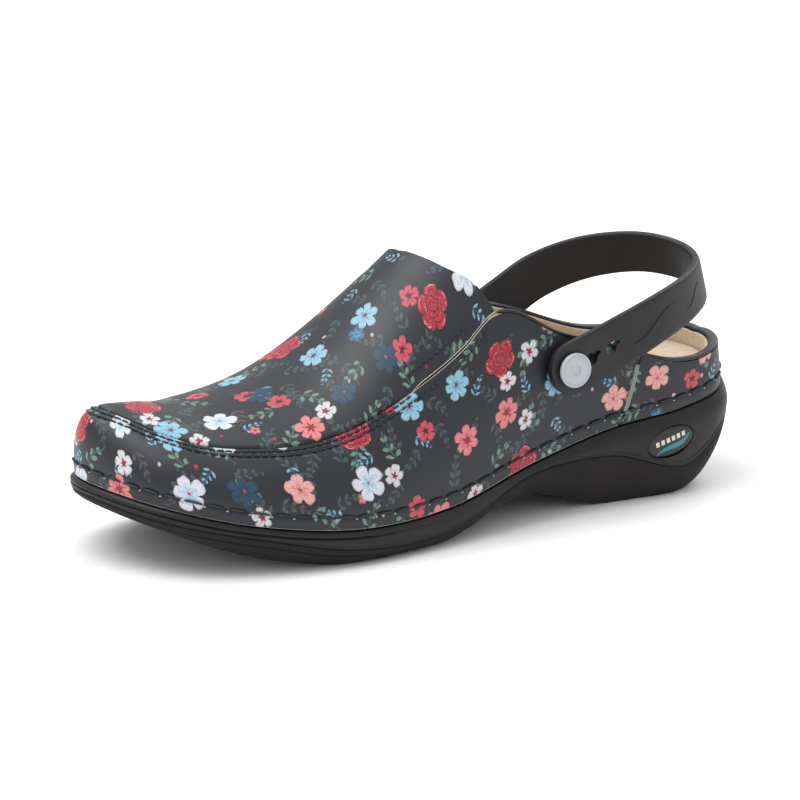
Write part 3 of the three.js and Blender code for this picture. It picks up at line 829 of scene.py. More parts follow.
LARGE_BLOOMS = (
    Bloom(0.22, 5, 6.9, 0.13, "#b22a3c", "#7c1828", "#4f5a52"),
    Bloom(0.17, 6, 5.7, 0.20, "#8dbacd", "#6199b6", "#6d2437"),
    Bloom(0.17, 6, 5.7, 0.30, "#d97f80", "#b53a4c", "#8d162b"),
    Bloom(0.20, 5, 6.3, 0.13, "#ced2dc", "#93bdd2", "#a93246"),
    Bloom(0.13, 5, 5.6, 0.13, "#e0a09b", "#d07f7e", "#2f161d"),
    Bloom(0.11, 6, 5.4, 0.14, "#1a4059", "#143247", "#a5536a"),
)
SMALL_BLOOMS = (
    Bloom(0.36, 5, 4.2, 0.32, "#cfcdd0", "#bda8ad", "#7f1c30"),
    Bloom(0.30, 5, 4.3, 0.30, "#c44a5a", "#9c2236", "#4a101e"),
    Bloom(0.16, 5, 2.3, 0.34, "#cf6d77", "#d89a99", "#6d1a2a"),
    Bloom(0.18, 6, 3.6, 0.20, "#2c6386", "#5c9cc0", "#22435a"),
)


class Leafage(Enum):
    """How a printed sprig is coloured: stem and leaf of each."""

    SAGE = ("#4a6158", "#688c79")
    SLATE = ("#34424a", "#3c5157")
    SMOKE = ("#36393d", "#4a4f50")
    BLUE = ("#2c506a", "#7aafca")


@dataclass(frozen=True)
class Cell:
    """The middle of one scattered motif: its own coordinates in millimetres and three random shares."""

    x: Wire
    y: Wire
    r: Wire
    kind: Wire
    vary: Wire


@dataclass(frozen=True)
class PrintedLeather:
    """Printed microfibre leather: a painted flower print under a smooth satin film with a fine pressed grain.

    Its motifs are scattered by jittered square lattices, each lattice turned its own way, and drawn by polar
    outlines. The lattices lie over each other from dim sprigs up to the large flowers.
    """

    name: str = "printed_microfibre_leather"
    ground: tuple[str, str] = ("#191c23", "#212329")
    raw: str = "#cfc9ba"
    grain: float = 0.55
    depth: float = 0.035

    def scatter(self, t: Tree, place: Wire, pitch: float, turn: float, shift: float, jitter: float) -> Cell:
        """Splits the plane into jittered cells, each with its own turned coordinates.

        Args:
            t: the material's nodes.
            place: position in millimetres.
            pitch: the lattice's spacing in millimetres.
            turn: the lattice's angle in radians.
            shift: how far the lattice is moved, in millimetres.
            jitter: how far the motifs stray, as a share of the pitch.

        Returns:
            The nearest motif's cell.
        """
        moved = t.put("Mapping", place, (shift, shift * 0.37, 0.0), (0.0, 0.0, turn))
        spacing = {"Scale": 1 / pitch, "Randomness": jitter}
        cells = t.put("TexVoronoi", moved, named=spacing, voronoi_dimensions="2D")
        local = t.put("VectorMath", moved, cells["Position"], operation="SUBTRACT")
        chance = t.put("SeparateColor", cells["Color"])
        spun = t.put("VectorRotate", local, named={"Angle": chance["Red"] * (2 * math.pi)})
        axes = t.put("SeparateXYZ", spun)
        radius = t.put("VectorMath", spun, operation="LENGTH")["Value"]
        return Cell(axes["X"], axes["Y"], radius, chance["Green"], chance["Blue"])

    def flowers(
        self, t: Tree, cell: Cell, blooms: Sequence[Bloom], density: float, brush: Wire
    ) -> tuple[Wire, Wire]:
        """Draws one flower to a cell; stepped ramps give each kind its numbers and colours.

        A petal's outline is R (0.3 + 0.7 sqrt(1 - p^3.2)), where p runs from 0 at its middle to 1 at the gap.

        Args:
            t: the material's nodes.
            cell: the flower's cell.
            blooms: the kinds, told apart by the cell's random share.
            density: the share of cells that hold a flower.
            brush: a fine noise that stands for brush strokes.

        Returns:
            Coverage and colour.
        """
        total = sum(b.share for b in blooms)
        starts = [density * sum(b.share for b in blooms[:i]) / total for i in range(len(blooms))]
        pairs = list(zip(starts, blooms))
        looks = [
            [(start, (b.petals / 10, b.radius / 10, b.middle, 1)) for start, b in pairs],
            *([(x, paint(getattr(bloom, part))) for x, bloom in pairs] for part in ("petal", "throat", "eye")),
        ]
        ramps = []
        for stops in looks:
            ramp = t.put("ValToRGB", cell.kind, stops=stops)
            ramp.node.color_ramp.interpolation = "CONSTANT"
            ramps.append(ramp)
        sizes = t.put("SeparateColor", ramps[0])
        around = t.put("Math", cell.y, cell.x, operation="ARCTAN2") * (0.5 / math.pi) + 0.5
        petal = around * sizes["Red"] * 10
        index = t.put("Math", petal, operation="FLOOR")
        chance = t.put("TexWhiteNoise", t.put("CombineXYZ", index, cell.kind * 91, cell.vary * 57))["Value"]
        off = abs(t.put("Math", petal, operation="FRACT") - 0.5) * 2
        reach = sizes["Green"] * 10 * (chance * 0.22 + 0.86)
        round_tip = t.put("Math", 1 - off ** 3.2, 0.0, operation="MAXIMUM") ** 0.5
        rim = reach * (round_tip * 0.68 + 0.32) - cell.r
        cover = t.put("MapRange", rim, 0.0, 0.32, 0.0, 1.0) * (cell.kind < density)
        share = cell.r / reach
        vein = t.put("MapRange", share + off * 0.35 + brush * 0.5, 0.5, 0.95, 1.0, 0.0)
        colour = t.put("MixRGB", vein, ramps[1], ramps[2])
        shade = t.put("MapRange", rim, 0.2, 0.9, 0.74, 1.0) * t.put("MapRange", brush, 0.35, 0.65, 0.86, 1.08)
        colour = t.put("VectorMath", colour, named={"Scale": shade}, operation="SCALE")
        eye = t.put("MapRange", sizes["Blue"] * (1.25 - off * 0.6) - share, 0.0, 0.07, 0.0, 1.0)
        return cover, t.put("MixRGB", eye, colour, ramps[3])

    def rose(self, t: Tree, cell: Cell, kind: Bloom, brush: Wire) -> tuple[Wire, Wire]:
        """Draws the full rose: wavy rings of dark folds, each with pale strokes just inside it.

        Args:
            t: the material's nodes.
            cell: the rose's cell.
            kind: its size and colours.
            brush: a fine noise that breaks the pale strokes.

        Returns:
            Coverage and colour.
        """
        angle = t.put("Math", cell.y, cell.x, operation="ARCTAN2")
        lobes = abs(t.put("Math", angle * 2.5, operation="COSINE")) ** 0.5
        rim = lobes * 1.7 + (kind.radius - 1.9) - cell.r
        cover = t.put("MapRange", rim, 0.0, 0.3, 0.0, 1.0) * (cell.kind < kind.share * 0.8)
        share = cell.r / kind.radius
        folds, strokes = None, None
        for ring, (place, waves, phase) in enumerate(((0.66, 5, 0.0), (0.44, 3, 1.6), (0.25, 2, 2.9))):
            wave = t.put("Math", angle * waves + phase, operation="COSINE")
            fold = t.put("MapRange", abs(share - (wave * 0.05 + place)), 0.012, 0.05, 1.0, 0.0)
            edge = abs(share - (wave * 0.07 + place + 0.17))
            crest = t.put("MapRange", edge, 0.01, 0.035, 1.0, 0.0) * (wave > 0.15)
            folds = fold if ring == 0 else t.put("Math", folds, fold, operation="MAXIMUM")
            strokes = crest if ring == 0 else t.put("Math", strokes, crest, operation="MAXIMUM")
        gaps = t.put("MapRange", lobes, 0.25, 0.5, 1.0, 0.0) * (share > 0.62)
        folds = t.put("Math", folds, gaps, operation="MAXIMUM")
        tone = t.put("MapRange", brush, 0.35, 0.6, 0.0, 1.0)
        body = t.put("MixRGB", tone, paint("#941c31"), paint("#bd3040"))
        broken = strokes * t.put("MapRange", brush, 0.4, 0.5, 0.0, 0.85)
        pale = t.put("MixRGB", broken, body, paint("#dd9a9b"))
        dark = t.put("MixRGB", folds * 0.9, pale, paint("#560f1c"))
        eye = t.put("MapRange", kind.middle - share, 0.0, 0.05, 0.0, 1.0)
        return cover, t.put("MixRGB", eye, dark, paint(kind.eye))

    def leaves(
        self, t: Tree, cell: Cell, spread: float, base: float, length: float, width: float
    ) -> tuple[Wire, Wire]:
        """Two leaves, mirrored about the cell's own axis: half width = width sin(pi x / length).

        Args:
            t: the material's nodes.
            cell: the cell that they stand in.
            spread: half the angle between them, in radians.
            base: where they start, in millimetres from the middle.
            length: how long they are.
            width: half their greatest width.

        Returns:
            Coverage, and the midrib's line.
        """
        side = abs(cell.y)
        along = cell.x * math.cos(spread) + side * math.sin(spread) - base
        across = abs(side * math.cos(spread) - cell.x * math.sin(spread) + along * along * 0.03)
        within = t.put("Math", along / length, 0.0, 1.0, operation="MULTIPLY_ADD", use_clamp=True)
        half = t.put("Math", within * math.pi, operation="SINE") * width
        leaf = t.put("MapRange", half - across, 0.0, 0.25, 0.0, 1.0)
        return leaf, t.put("MapRange", across, 0.1, 0.3, 1.0, 0.0)

    def sprig(
        self, t: Tree, cell: Cell, reach: float, gap: float, leaf: float, density: float
    ) -> tuple[Wire, Wire]:
        """A bent stem with slanting leaflets on both sides at an even gap, shorter towards its tip.

        Args:
            t: the material's nodes.
            cell: the cell that it stands in.
            reach: half the stem's length in millimetres.
            gap: the distance between leaflets.
            leaf: a leaflet's length.
            density: the share of cells that hold a sprig.

        Returns:
            Coverage of the stem, and of the leaflets.
        """
        side = abs(cell.y - cell.x * cell.x * 0.035)
        there = (abs(cell.x) < reach) * (cell.vary < density)
        stem = t.put("MapRange", side, 0.14, 0.34, 1.0, 0.0) * there
        taper = 1 - (cell.x + reach) / (2.6 * reach)
        slant = (cell.x - side * 0.75) / gap
        step = (t.put("Math", slant, operation="FRACT") - 0.5) * gap
        out = side / (taper * leaf)
        inside = t.put("Math", out, 1.0, operation="MINIMUM")
        half = t.put("Math", inside * math.pi, operation="SINE") * (gap * 0.3)
        leaflet = t.put("MapRange", half - abs(step), 0.0, 0.25, 0.0, 1.0) * there * (out < 1.0)
        return stem, leaflet

    def material(self) -> bpy.types.Material:
        """Lays the print over the ground, layer by layer, and presses the grain into it.

        Returns:
            The finished material.
        """
        t = Tree(self.name)
        pattern = t.put("UVMap", uv_map="pattern")
        flat = t.put("VectorMath", pattern, named={"Scale": float(UV_SPAN)}, operation="SCALE")
        hand = t.put("TexNoise", flat, named={"Scale": 0.3, "Detail": 2.0}, noise_dimensions="2D")["Color"]
        hand = t.put("VectorMath", hand, (0.5, 0.5, 0.5), operation="SUBTRACT")
        hand = t.put("VectorMath", hand, named={"Scale": 1.3}, operation="SCALE")
        place = t.put("VectorMath", flat, hand, operation="ADD")
        brush = t.put("TexNoise", flat, named={"Scale": 1.3, "Detail": 3.0}, noise_dimensions="2D")
        cloud = t.put("TexNoise", flat, named={"Scale": 0.08, "Detail": 3.0}, noise_dimensions="2D")
        picture = t.put("MixRGB", cloud, paint(self.ground[0]), paint(self.ground[1]))
        sprigs = (
            (Leafage.SMOKE, 15.0, 0.9, 3.0, 0.5, (5.0, 3.2, 3.4, 0.7)),
            (Leafage.SLATE, 17.0, 2.1, 41.0, 0.55, (5.0, 3.3, 3.2, 0.6)),
            (Leafage.SAGE, 18.5, 0.4, 77.0, 0.55, (5.2, 3.9, 3.9, 0.62)),
            (Leafage.BLUE, 23.0, 1.3, 19.0, 0.6, (3.6, 2.4, 3.0, 0.5)),
        )
        for look, pitch, turn, shift, jitter, form in sprigs:
            cell = self.scatter(t, place, pitch, turn, shift, jitter)
            stem, leaflet = self.sprig(t, cell, *form)
            picture = t.put("MixRGB", stem * 0.9, picture, paint(look.value[0]))
            picture = t.put("MixRGB", leaflet * (brush * 0.5 + 0.6), picture, paint(look.value[1]))
        berries = self.scatter(t, place, 6.5, 0.7, 11.0, 0.6)
        dots = t.put("MapRange", berries.r, 0.55, 0.85, 1.0, 0.0) * (berries.kind < 0.06)
        juice = t.put("MixRGB", berries.vary > 0.5, paint("#a8283c"), paint("#c9a3a8"))
        picture = t.put("MixRGB", dots, picture, juice)
        for blooms, pitch, turn, shift, jitter, density in (
            (SMALL_BLOOMS, 17.5, 0.62, 63.0, 0.45, 0.42), (LARGE_BLOOMS, 22.0, 0.15, 8.0, 0.36, 0.8),
        ):
            cell = self.scatter(t, place, pitch, turn, shift, jitter)
            leaf, rib = self.leaves(t, cell, 0.75, blooms[0].radius * 0.72, 6.2, 1.6)
            green = t.put("MixRGB", cell.vary, paint("#4a6a5c"), paint("#7fa389"))
            green = t.put("MixRGB", rib * 0.6, green, paint("#3d564b"))
            picture = t.put("MixRGB", leaf * (cell.kind < density), picture, green)
            cover, colour = self.flowers(t, cell, blooms, density, brush)
            picture = t.put("MixRGB", cover, picture, colour)
            if blooms is LARGE_BLOOMS:
                cover, colour = self.rose(t, cell, blooms[0], brush)
                picture = t.put("MixRGB", cover, picture, colour)
        cut = t.put("Attribute", attribute_name=CUT_EDGE)["Fac"]
        raw = t.put("MapRange", cut + brush * 0.4, 0.55, 0.8, 0.0, 1.0)
        picture = t.put("MixRGB", raw, picture, paint(self.raw))
        pores = t.put("TexVoronoi", flat, named={"Scale": 1 / self.grain}, voronoi_dimensions="2D")
        fine = {"Scale": 0.9 / self.grain, "Detail": 4.0}
        skin = t.put("TexNoise", flat, named=fine, noise_dimensions="2D")
        relief = pores * 0.35 + skin * 0.65
        gloss = t.put("MapRange", skin * 0.6 + cloud * 0.4, 0.35, 0.65, 0.4, 0.5)
        return t.surface(picture, gloss, relief, self.depth, Specular_IOR_Level=0.5, IOR=1.5)


@dataclass(frozen=True)
class BadgeInk:
    """Two-colour print on a moulded plate: a plain wave under a row of short bars."""

    name: str = "pad_printed_badge"
    plate: str = "#1d1c1d"
    wave: str = "#2b7f8c"
    bars: str = "#d9d6c4"

    def material(self) -> bpy.types.Material:
        """The wave is a band round a cubic; the bars are a row of blocks with even gaps.

        Returns:
            The finished material.
        """
        t = Tree(self.name)
        axes = t.put("SeparateXYZ", t.put("UVMap", uv_map="pattern"))
        x, y = axes["X"] * UV_SPAN, axes["Y"] * UV_SPAN
        grain = t.put("TexNoise", t.put("TexCoord")["Object"], named={"Scale": 900.0})
        line = x * x * x * 0.0045 - 2.1
        thick = t.put("Math", (x + 8.6) * 0.15, operation="SINE", use_clamp=True) * 1.1
        wave = t.put("MapRange", thick - abs(y - line), 0.0, 0.15, 0.0, 1.0) * (abs(x) < 8.4)
        step = abs(t.put("Math", x / 2.3, operation="FRACT") - 0.5)
        tall = t.put("MapRange", 1.0 - abs(y - 0.9 - x * 0.06), 0.0, 0.15, 0.0, 1.0)
        bars = t.put("MapRange", 0.36 - step, 0.0, 0.06, 0.0, 1.0) * tall * (abs(x) < 6.9)
        speck = t.put("MapRange", grain, 0.4, 0.6, 0.0, 0.3)
        colour = t.put("MixRGB", speck, paint(self.plate), paint("#2a292a"))
        colour = t.put("MixRGB", wave, colour, paint(self.wave))
        colour = t.put("MixRGB", bars, colour, paint(self.bars))
        return t.surface(colour, 0.38, wave * 0.7 + bars + grain * 0.1, 0.25)


# ---- sub-assemblies ------------------------------------------------------------------------------
@dataclass
class SoleUnit:
    """Midsole, grained outsole and the badge plate let into the heel."""

    form: FootForm
    ground_z: Sequence = (8, 5, 0, 0.3, 9.6, 0.3, -0.5, 4.6, 13, 17)
    ground_offset: Sequence = (-7, -5, -1, -1.5, -3, -3, -2.5, -4, -6, -8)
    parting_z: Sequence = (35, 26, 11.6, 19.5, 18.3, 6, 5.8, 13, 19.5, 24)
    parting_inner_z: Sequence = (18, 16, 10, 13, 14, 5.5, 5, 9.5, 16, 20)
    footbed_z: Sequence = (36.5, 35.5, 32, 28.5, 21.5, 13.7, 12.7, 17.2, 24.2, 27.5)
    heel_bulge: float = 3.0
    front_bulge: float = 1.7
    ledge: float = 0.7
    lip: float = 7.0
    lip_depths: tuple[float, float] = (-1.9, -3.1)
    recess_edge: float = -4.8
    core_edge: float = -8.0
    core_gap: float = 2.2
    seat: float = 1.2
    groove: float = 0.7
    groove_half: float = 0.36
    band: float = 2.1
    steps: int = 480
    badge_long: float = 10.0
    badge_tall: float = 5.2
    badge_tilt: float = 0.2
    badge_corners: int = 96
    badge_play: float = 0.5

    def __post_init__(self) -> None:
        """Makes the rings from the station values."""
        self.u = np.linspace(0, TURN, self.steps, endpoint=False)
        self.ground = np.maximum(Loop(self.ground_z)(self.u), 0)
        self.under = Loop(self.ground_offset)(self.u)
        self.parting = Loop(self.parting_z)(self.u)
        self.inner = Loop(self.parting_inner_z)(self.u)
        self.bed = Loop(self.footbed_z)(self.u)
        station = self.form.fold(self.u)
        self.front = smooth(station, 4.6, 6.2)
        self.bulge = self.heel_bulge + (self.front_bulge - self.heel_bulge) * smooth(station, 2.5, 5.0)

    def lines(self, below: Array) -> Array:
        """Depth of the moulded line that runs round the front at a distance below an edge."""
        return self.groove * bell(below, self.groove_half) * self.front

    def outsole(self) -> bpy.types.Object:
        """The wall is a Bezier curve from the parting line that bulges, then rolls under to the ground.

        Returns:
            The new object.
        """
        f, u = self.form, self.u
        start = self.parting - GAP / 2
        height = (start - self.ground)[None]
        p = np.linspace(0, 1, 64)[:, None]
        z = start - height * (3 * (1 - p) ** 2 * p * 0.3 + 3 * (1 - p) * p**2 * 0.86 + p**3)
        lead, tail = self.bulge[None] - 0.3, self.under[None] - 2.2
        off = (1 - p) ** 3 * (lead - 0.5) + 3 * (1 - p) ** 2 * p * (lead + 0.3)
        off = off + 3 * (1 - p) * p**2 * (self.under[None] * 0.8 + 0.7) + p**3 * tail
        off = off - self.lines(start - z - 2.4)
        core = f.rim(u, self.core_edge, np.minimum(self.inner, self.parting) - GAP / 2)
        seat = f.rim(u, off[0] - self.seat, start)
        rings = np.stack([core, seat, *(f.rim(u, out, level) for out, level in zip(off, z))])
        return stacked("outsole_grained", rings, rungs=110, tread=self.tread)

    def tread(self, points: Array) -> Array:
        """Moulded grip: chevron grooves across the sole, cut off near its rim and along the middle line.

        Args:
            points: places on the underside.

        Returns:
            How far each place is moved up.
        """
        x, y = points[..., 0] + 2.5, points[..., 1]
        bars = np.abs(((y + 0.35 * np.abs(x)) / 8.0) % 1 - 0.5) * 8.0
        groove = smooth(bars, 1.7, 1.2)
        clear = smooth(np.abs(x), 2.0, 3.0) * smooth(np.abs(x), 33.0, 31.0)
        return 1.5 * groove * clear

    def midsole(self) -> bpy.types.Object:
        """Recess for the foot, lip behind the stitching, ledge, then a wall that rounds over.

        Returns:
            The new object.
        """
        f, u = self.form, self.u
        level = f.edge_z(u)
        lip = f.height_t(u, self.lip)
        near, far = (f.skin(u, lip, depth) for depth in self.lip_depths)
        p = np.linspace(0, 1, 44)[:, None]
        top, low = level - GAP, self.parting + GAP / 2
        z = top - (top - low) * p
        below = top - z
        flare = 1 - (1 - np.clip(below / (1.2 + 5.5 * (1 - self.front)), 0, 1)) ** 2
        off = self.ledge + (self.bulge - self.ledge) * flare - 0.35 * smooth(p, 0.55, 1.0)
        off = off - self.lines(below - self.band) - 0.25 * bell(below - 0.9 * (top - low), 0.35)
        rings = [
            f.rim(u, self.recess_edge, np.minimum(self.bed, level + 0.5)),
            f.rim(u, self.recess_edge, level + 0.6),
            f.rim(u, self.lip_depths[1], level + 0.6),
            far,
            near,
            f.rim(u, self.lip_depths[0], top),
            *(f.rim(u, out, height) for out, height in zip(off, z)),
            f.rim(u, off[-1] - self.seat, low),
            f.rim(u, self.core_edge, np.minimum(self.inner, self.parting) + self.core_gap),
        ]
        return stacked("midsole_moulded", np.stack(rings))

    def badge_frame(self) -> tuple[Array, Array, Array]:
        """Finds where the badge stands, from the frame's own plate.

        Returns:
            Its middle, and the directions across and up its face.
        """
        centre, _ = measured(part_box("badge_plate"))
        c, s = math.cos(self.badge_tilt), math.sin(self.badge_tilt)
        return centre, np.array([0, c, s]), np.array([0, -s, c])

    def badge(self) -> bpy.types.Object:
        """An oval plate crowned by 0.5 (1 - r^2), with the pattern's coordinates across its face.

        Returns:
            The new object.
        """
        centre, across, up = self.badge_frame()
        r = np.array([0, *np.linspace(0.08, 0.94, 12), 0.985, 1.0, 1.0, 0.0])
        lift = np.array([*(0.5 * (1 - r[:13] ** 2)), -0.06, -0.2, -0.85, -0.85]) + 0.35
        flat = oval(self.badge_corners, self.badge_long, self.badge_tall)[None] * r[:, None, None]
        points = centre + flat[..., :1] * across + flat[..., 1:] * up
        points[..., 0] += lift[:, None]
        faces = grid_faces(len(r), self.badge_corners, close_rows=True)
        return make_mesh("badge_plate_printed", points.reshape(-1, 3), faces, flat.reshape(-1, 2))

    def build(self) -> None:
        """Makes and dresses the three pieces."""
        rubber = Grainy(
            "moulded_rubber_outsole", ("#171514", "#211e1d"), (0.68, 0.82), 0.7, 0.09, 20.0,
            {"Specular IOR Level": 0.3},
        )
        skin = Grainy(
            "polyurethane_moulded_skin", ("#141314", "#1b1a1a"), (0.42, 0.52), 0.9, 0.02, 25.0,
            {"Specular IOR Level": 0.35},
        )
        finish_piece(self.outsole(), "shoe", "sole_rubber", rubber.material(), "outsole")
        midsole = self.midsole()
        centre, across, up = self.badge_frame()
        play = self.badge_play
        pocket = oval(self.badge_corners, self.badge_long + play, self.badge_tall + play)
        carve(midsole, [prism(pocket, centre + np.array([4.15, 0, 0]), across, up, 4.8)])
        soften(midsole, 0.25, 2, 40)
        finish_piece(midsole, "shoe", "sole_foam", skin.material(), "midsole")
        finish_piece(self.badge(), "shoe", "badge", BadgeInk().material(), "badge_plate")


@dataclass
class Footbed:
    """The covered insole that the foot stands on."""

    form: FootForm
    cover: bpy.types.Material
    insole_z: Sequence = (46, 46, 44.5, 40.5, 31.5, 22.5, 19.5, 23, 29.5, 33)
    edge: float = -5.5
    thickness: float = 1.0
    sag: float = 1.6
    steps: int = 300

    def build(self) -> None:
        """The cover ends in a small roll: its outer rings stand a little lower than its face."""
        u = np.linspace(0, TURN, self.steps, endpoint=False)
        top = Loop(self.insole_z)(u)
        inset, drop = (1.6, 0.7, 0.2, 0.0, 0.0), (0.0, 0.06, 0.3, 0.55, self.thickness)
        rings = [self.form.rim(u, self.edge - i, top - d) for i, d in zip(inset, drop)]
        piece = stacked("insole_cover_lined", np.stack(rings), sag=self.sag)
        finish_piece(piece, "shoe", "lining", self.cover, "insole_cover")


@dataclass
class Upper:
    """Printed leather shells, their linings and the rolled collar."""

    form: FootForm
    leather: bpy.types.Material
    edge: bpy.types.Material
    lining: bpy.types.Material
    thickness: float = 1.6
    lining_depths: tuple[float, float] = (-3.8, -4.6)
    lining_foot: float = 2.6
    foot: float = 0.004
    slit_gap: float = 0.4
    collar_gap: float = 1.0
    tuck: float = 4.0
    stitch_height: float = 5.0
    stitch_pitch: float = 7.6
    collar_end: float = 4.2
    row_depths: tuple[float, float] = (1.3, 3.4)
    round_edge: float = 0.3
    collar_half: float = 1.7
    wall_rows: int = 62
    edge_pull: float = 0.55

    def arc(self, u: Array) -> Array:
        """Distance round the sole's edge from the heel's back."""
        dense = np.linspace(-TURN / 2, 1.5 * TURN, 3000)
        return np.interp(u, dense, lengths(self.form.edge(dense)))

    def slit(self, u: Array) -> Array:
        """1 along the open slit beside the tongue, 0 elsewhere."""
        s = self.form.fold(u)
        return smooth(s, 4.15, 4.3) * smooth(s, 5.6, 5.3)

    def opening(self, u: Array) -> Array:
        """How far the shell stops below its cut line, at collar, slit and toe seam.

        Args:
            u: places round the edge.

        Returns:
            Distances in millimetres.
        """
        s = self.form.fold(u)
        collar = self.collar_gap * smooth(s, 4.4, 4.1)
        return collar + self.slit_gap * self.slit(u) + 0.1 * smooth(s, 5.3, 5.6)

    def relief(self, u: Array, t: Array, points: Array) -> Array:
        """Depth of the sewing in the leather: a groove with dimples at its holes, and the toe seam's rows.

        Args:
            u: places round the edge.
            t: heights up the wall, of the same shape.
            points: the wall's bare points there.

        Returns:
            How far each point is moved out, negative inwards.
        """
        height = points[..., 2] - self.form.edge_z(u)
        along = self.arc(u) / self.stitch_pitch
        hole = np.abs(along - np.round(along)) * self.stitch_pitch
        line = height - self.stitch_height
        depth = -0.28 * bell(line, 0.8) - 0.3 * bell(line, 0.7) * bell(hole, 0.9)
        depth = depth + 0.12 * bell(height - 2.4, 1.3)
        down = (self.form.collar(u) - t) * self.form.steepness(u, t)
        toe = smooth(self.form.fold(u), 5.0, 5.5)
        rows = sum(-0.3 * bell(down - d, 0.55) for d in self.row_depths)
        return depth + toe * (rows + 0.1 * bell(down - sum(self.row_depths) / 2, 0.5))

    def panel(self, name: str, columns: int, reach: Callable[[Array, Array], Array]) -> bpy.types.Object:
        """A wall shell between two seams, from the sole to its cut line.

        Args:
            name: the piece's name.
            columns: steps along the rim.
            reach: gives u from the place along the rim, 0 to 1, and the height share.

        Returns:
            The new object.
        """
        b = np.broadcast_to(eased(self.wall_rows, self.edge_pull), (columns, self.wall_rows))
        a = np.broadcast_to(np.linspace(0, 1, columns)[:, None], b.shape)
        u = reach(a, b)
        top = self.form.down(u, self.form.collar(u), self.opening(u))
        t = self.foot + b * (top - self.foot)
        bare = self.form.wall(u, t)
        n = self.form.wall_normal(u, t)
        outer = bare + n * self.relief(u, t, bare)[..., None]
        climb = np.swapaxes(lengths(np.swapaxes(bare, 0, 1)), 0, 1)
        uv = np.stack([self.arc(u), climb], -1)
        mark = np.zeros(u.shape)
        mark[:, 0] = 0.7
        mark[:, -1] = self.slit(u[:, -1])
        piece = shell(name, outer, bare - n * self.thickness, uv, mark)
        soften(piece, self.round_edge)
        return piece

    def side_wall(self) -> bpy.types.Object:
        """The long wall round the toe, from one side seam to the other.

        Returns:
            The new object.
        """

        def reach(a: Array, b: Array) -> Array:
            """Runs from the lateral seam, at a = 0, round to the medial one; b is the height share."""
            seam = self.form.seam(b * SEAM_TOP) + SEAM_SPLIT
            return seam + a * (TURN - 2 * seam)

        return self.panel("side_wall_leather", 430, reach)

    def heel_quarter(self) -> bpy.types.Object:
        """The low wall round the heel.

        Returns:
            The new object.
        """

        def reach(a: Array, b: Array) -> Array:
            """Runs from the medial seam, at a = 0, over the heel's back to the lateral one."""
            return (2 * a - 1) * (self.form.seam(b * SEAM_TOP) - SEAM_SPLIT)

        return self.panel("heel_quarter_leather", 200, reach)

    def plug(self) -> bpy.types.Object:
        """Tongue and toe panel in one, tucked under the side wall round the toe.

        Its pattern runs across by slope times plan width and along by the ridge's length, so it meets itself
        at the toe without a jump.

        Returns:
            The new object.
        """
        rows, columns = 176, 132
        v = 2 * np.linspace(0, 1, columns)[None] - 1
        v = np.broadcast_to(np.sign(v) * (1 - (1 - np.abs(v)) ** 1.15), (rows, columns))
        start = self.form.tongue(1 - np.abs(v))
        s = start + np.linspace(0, 1, rows)[:, None] * (LAST_STATION - start)
        toe = smooth(s, 5.15, 5.6)
        u = np.where(v < 0, s, TURN - s)
        low = self.form.down(u, self.form.collar(u), self.tuck * toe - self.slit_gap * (1 - toe))
        t = low + (1 - low) * (1 - np.abs(v))
        bare = self.form.wall(u, t)
        n = self.form.wall_normal(u, t)
        above = (t - self.form.collar(u)) * self.form.steepness(u, t)
        tucked = smooth(above, 1.6, -0.2)
        outer = bare - n * (1.75 * toe * tucked)[..., None]
        inner = bare - n * (self.thickness + 0.35 * toe * tucked)[..., None]
        step = np.diff(bare, axis=1)
        level = np.hypot(step[..., 0], step[..., 1])
        across = step[..., 0] * np.linalg.norm(step, axis=-1) / np.maximum(level, 1e-6)
        across = np.concatenate([np.zeros((rows, 1)), np.cumsum(across, axis=1)], axis=1)
        ridge = self.form.ridge(np.linspace(3.5, LAST_STATION, 400))
        run = lengths(ridge)
        length = np.interp(-bare[..., 1], np.append(-ridge[:, 1], 140), np.append(run, run[-1] + 28))
        uv = np.stack([across - across[:, columns // 2:columns // 2 + 1], length], -1)
        mark = np.zeros(u.shape)
        mark[:, [0, -1]] = self.slit(s)[:, [0, -1]]
        piece = shell("vamp_plug_leather", outer, inner, uv, mark, folded=True)
        soften(piece, self.round_edge)
        return piece

    def vamp_lining(self) -> bpy.types.Object:
        """The fabric inside the front, folded over the toe like the plug.

        Returns:
            The new object.
        """
        rows, columns = 110, 100
        v = np.broadcast_to(2 * np.linspace(0, 1, columns)[None] - 1, (rows, columns))
        foot_t = float(self.form.height_t(np.array([4.4]), self.lining_foot)[0])
        rise = np.clip(((1 - np.abs(v)) * (1 - foot_t) - 0.4) / 0.6, 0, 1)
        start = self.form.tongue(rise) + 0.02
        s = start + np.linspace(0, 1, rows)[:, None] * (LAST_STATION - start)
        low = self.form.height_t(s, self.lining_foot)
        u, t = self.form.over_ridge(s, v, low)
        outer, inner = (self.form.skin(u, t, depth) for depth in self.lining_depths)
        return shell("vamp_lining_fabric", outer, inner, np.stack([s * 30, v * 60], -1), folded=True)

    def quarter_lining(self) -> bpy.types.Object:
        """The fabric band inside the collar.

        Returns:
            The new object.
        """
        a, b = np.meshgrid(np.linspace(-1, 1, 240), np.linspace(0, 1, 26), indexing="ij")
        u = a * (self.collar_end - 0.02)
        low = self.form.height_t(u, self.lining_foot)
        t = low + b * (self.form.collar(u) - 0.004 - low)
        outer, inner = (self.form.skin(u, t, depth) for depth in self.lining_depths)
        return shell("quarter_lining_fabric", outer, inner, np.stack([u * 28, t * 60], -1))

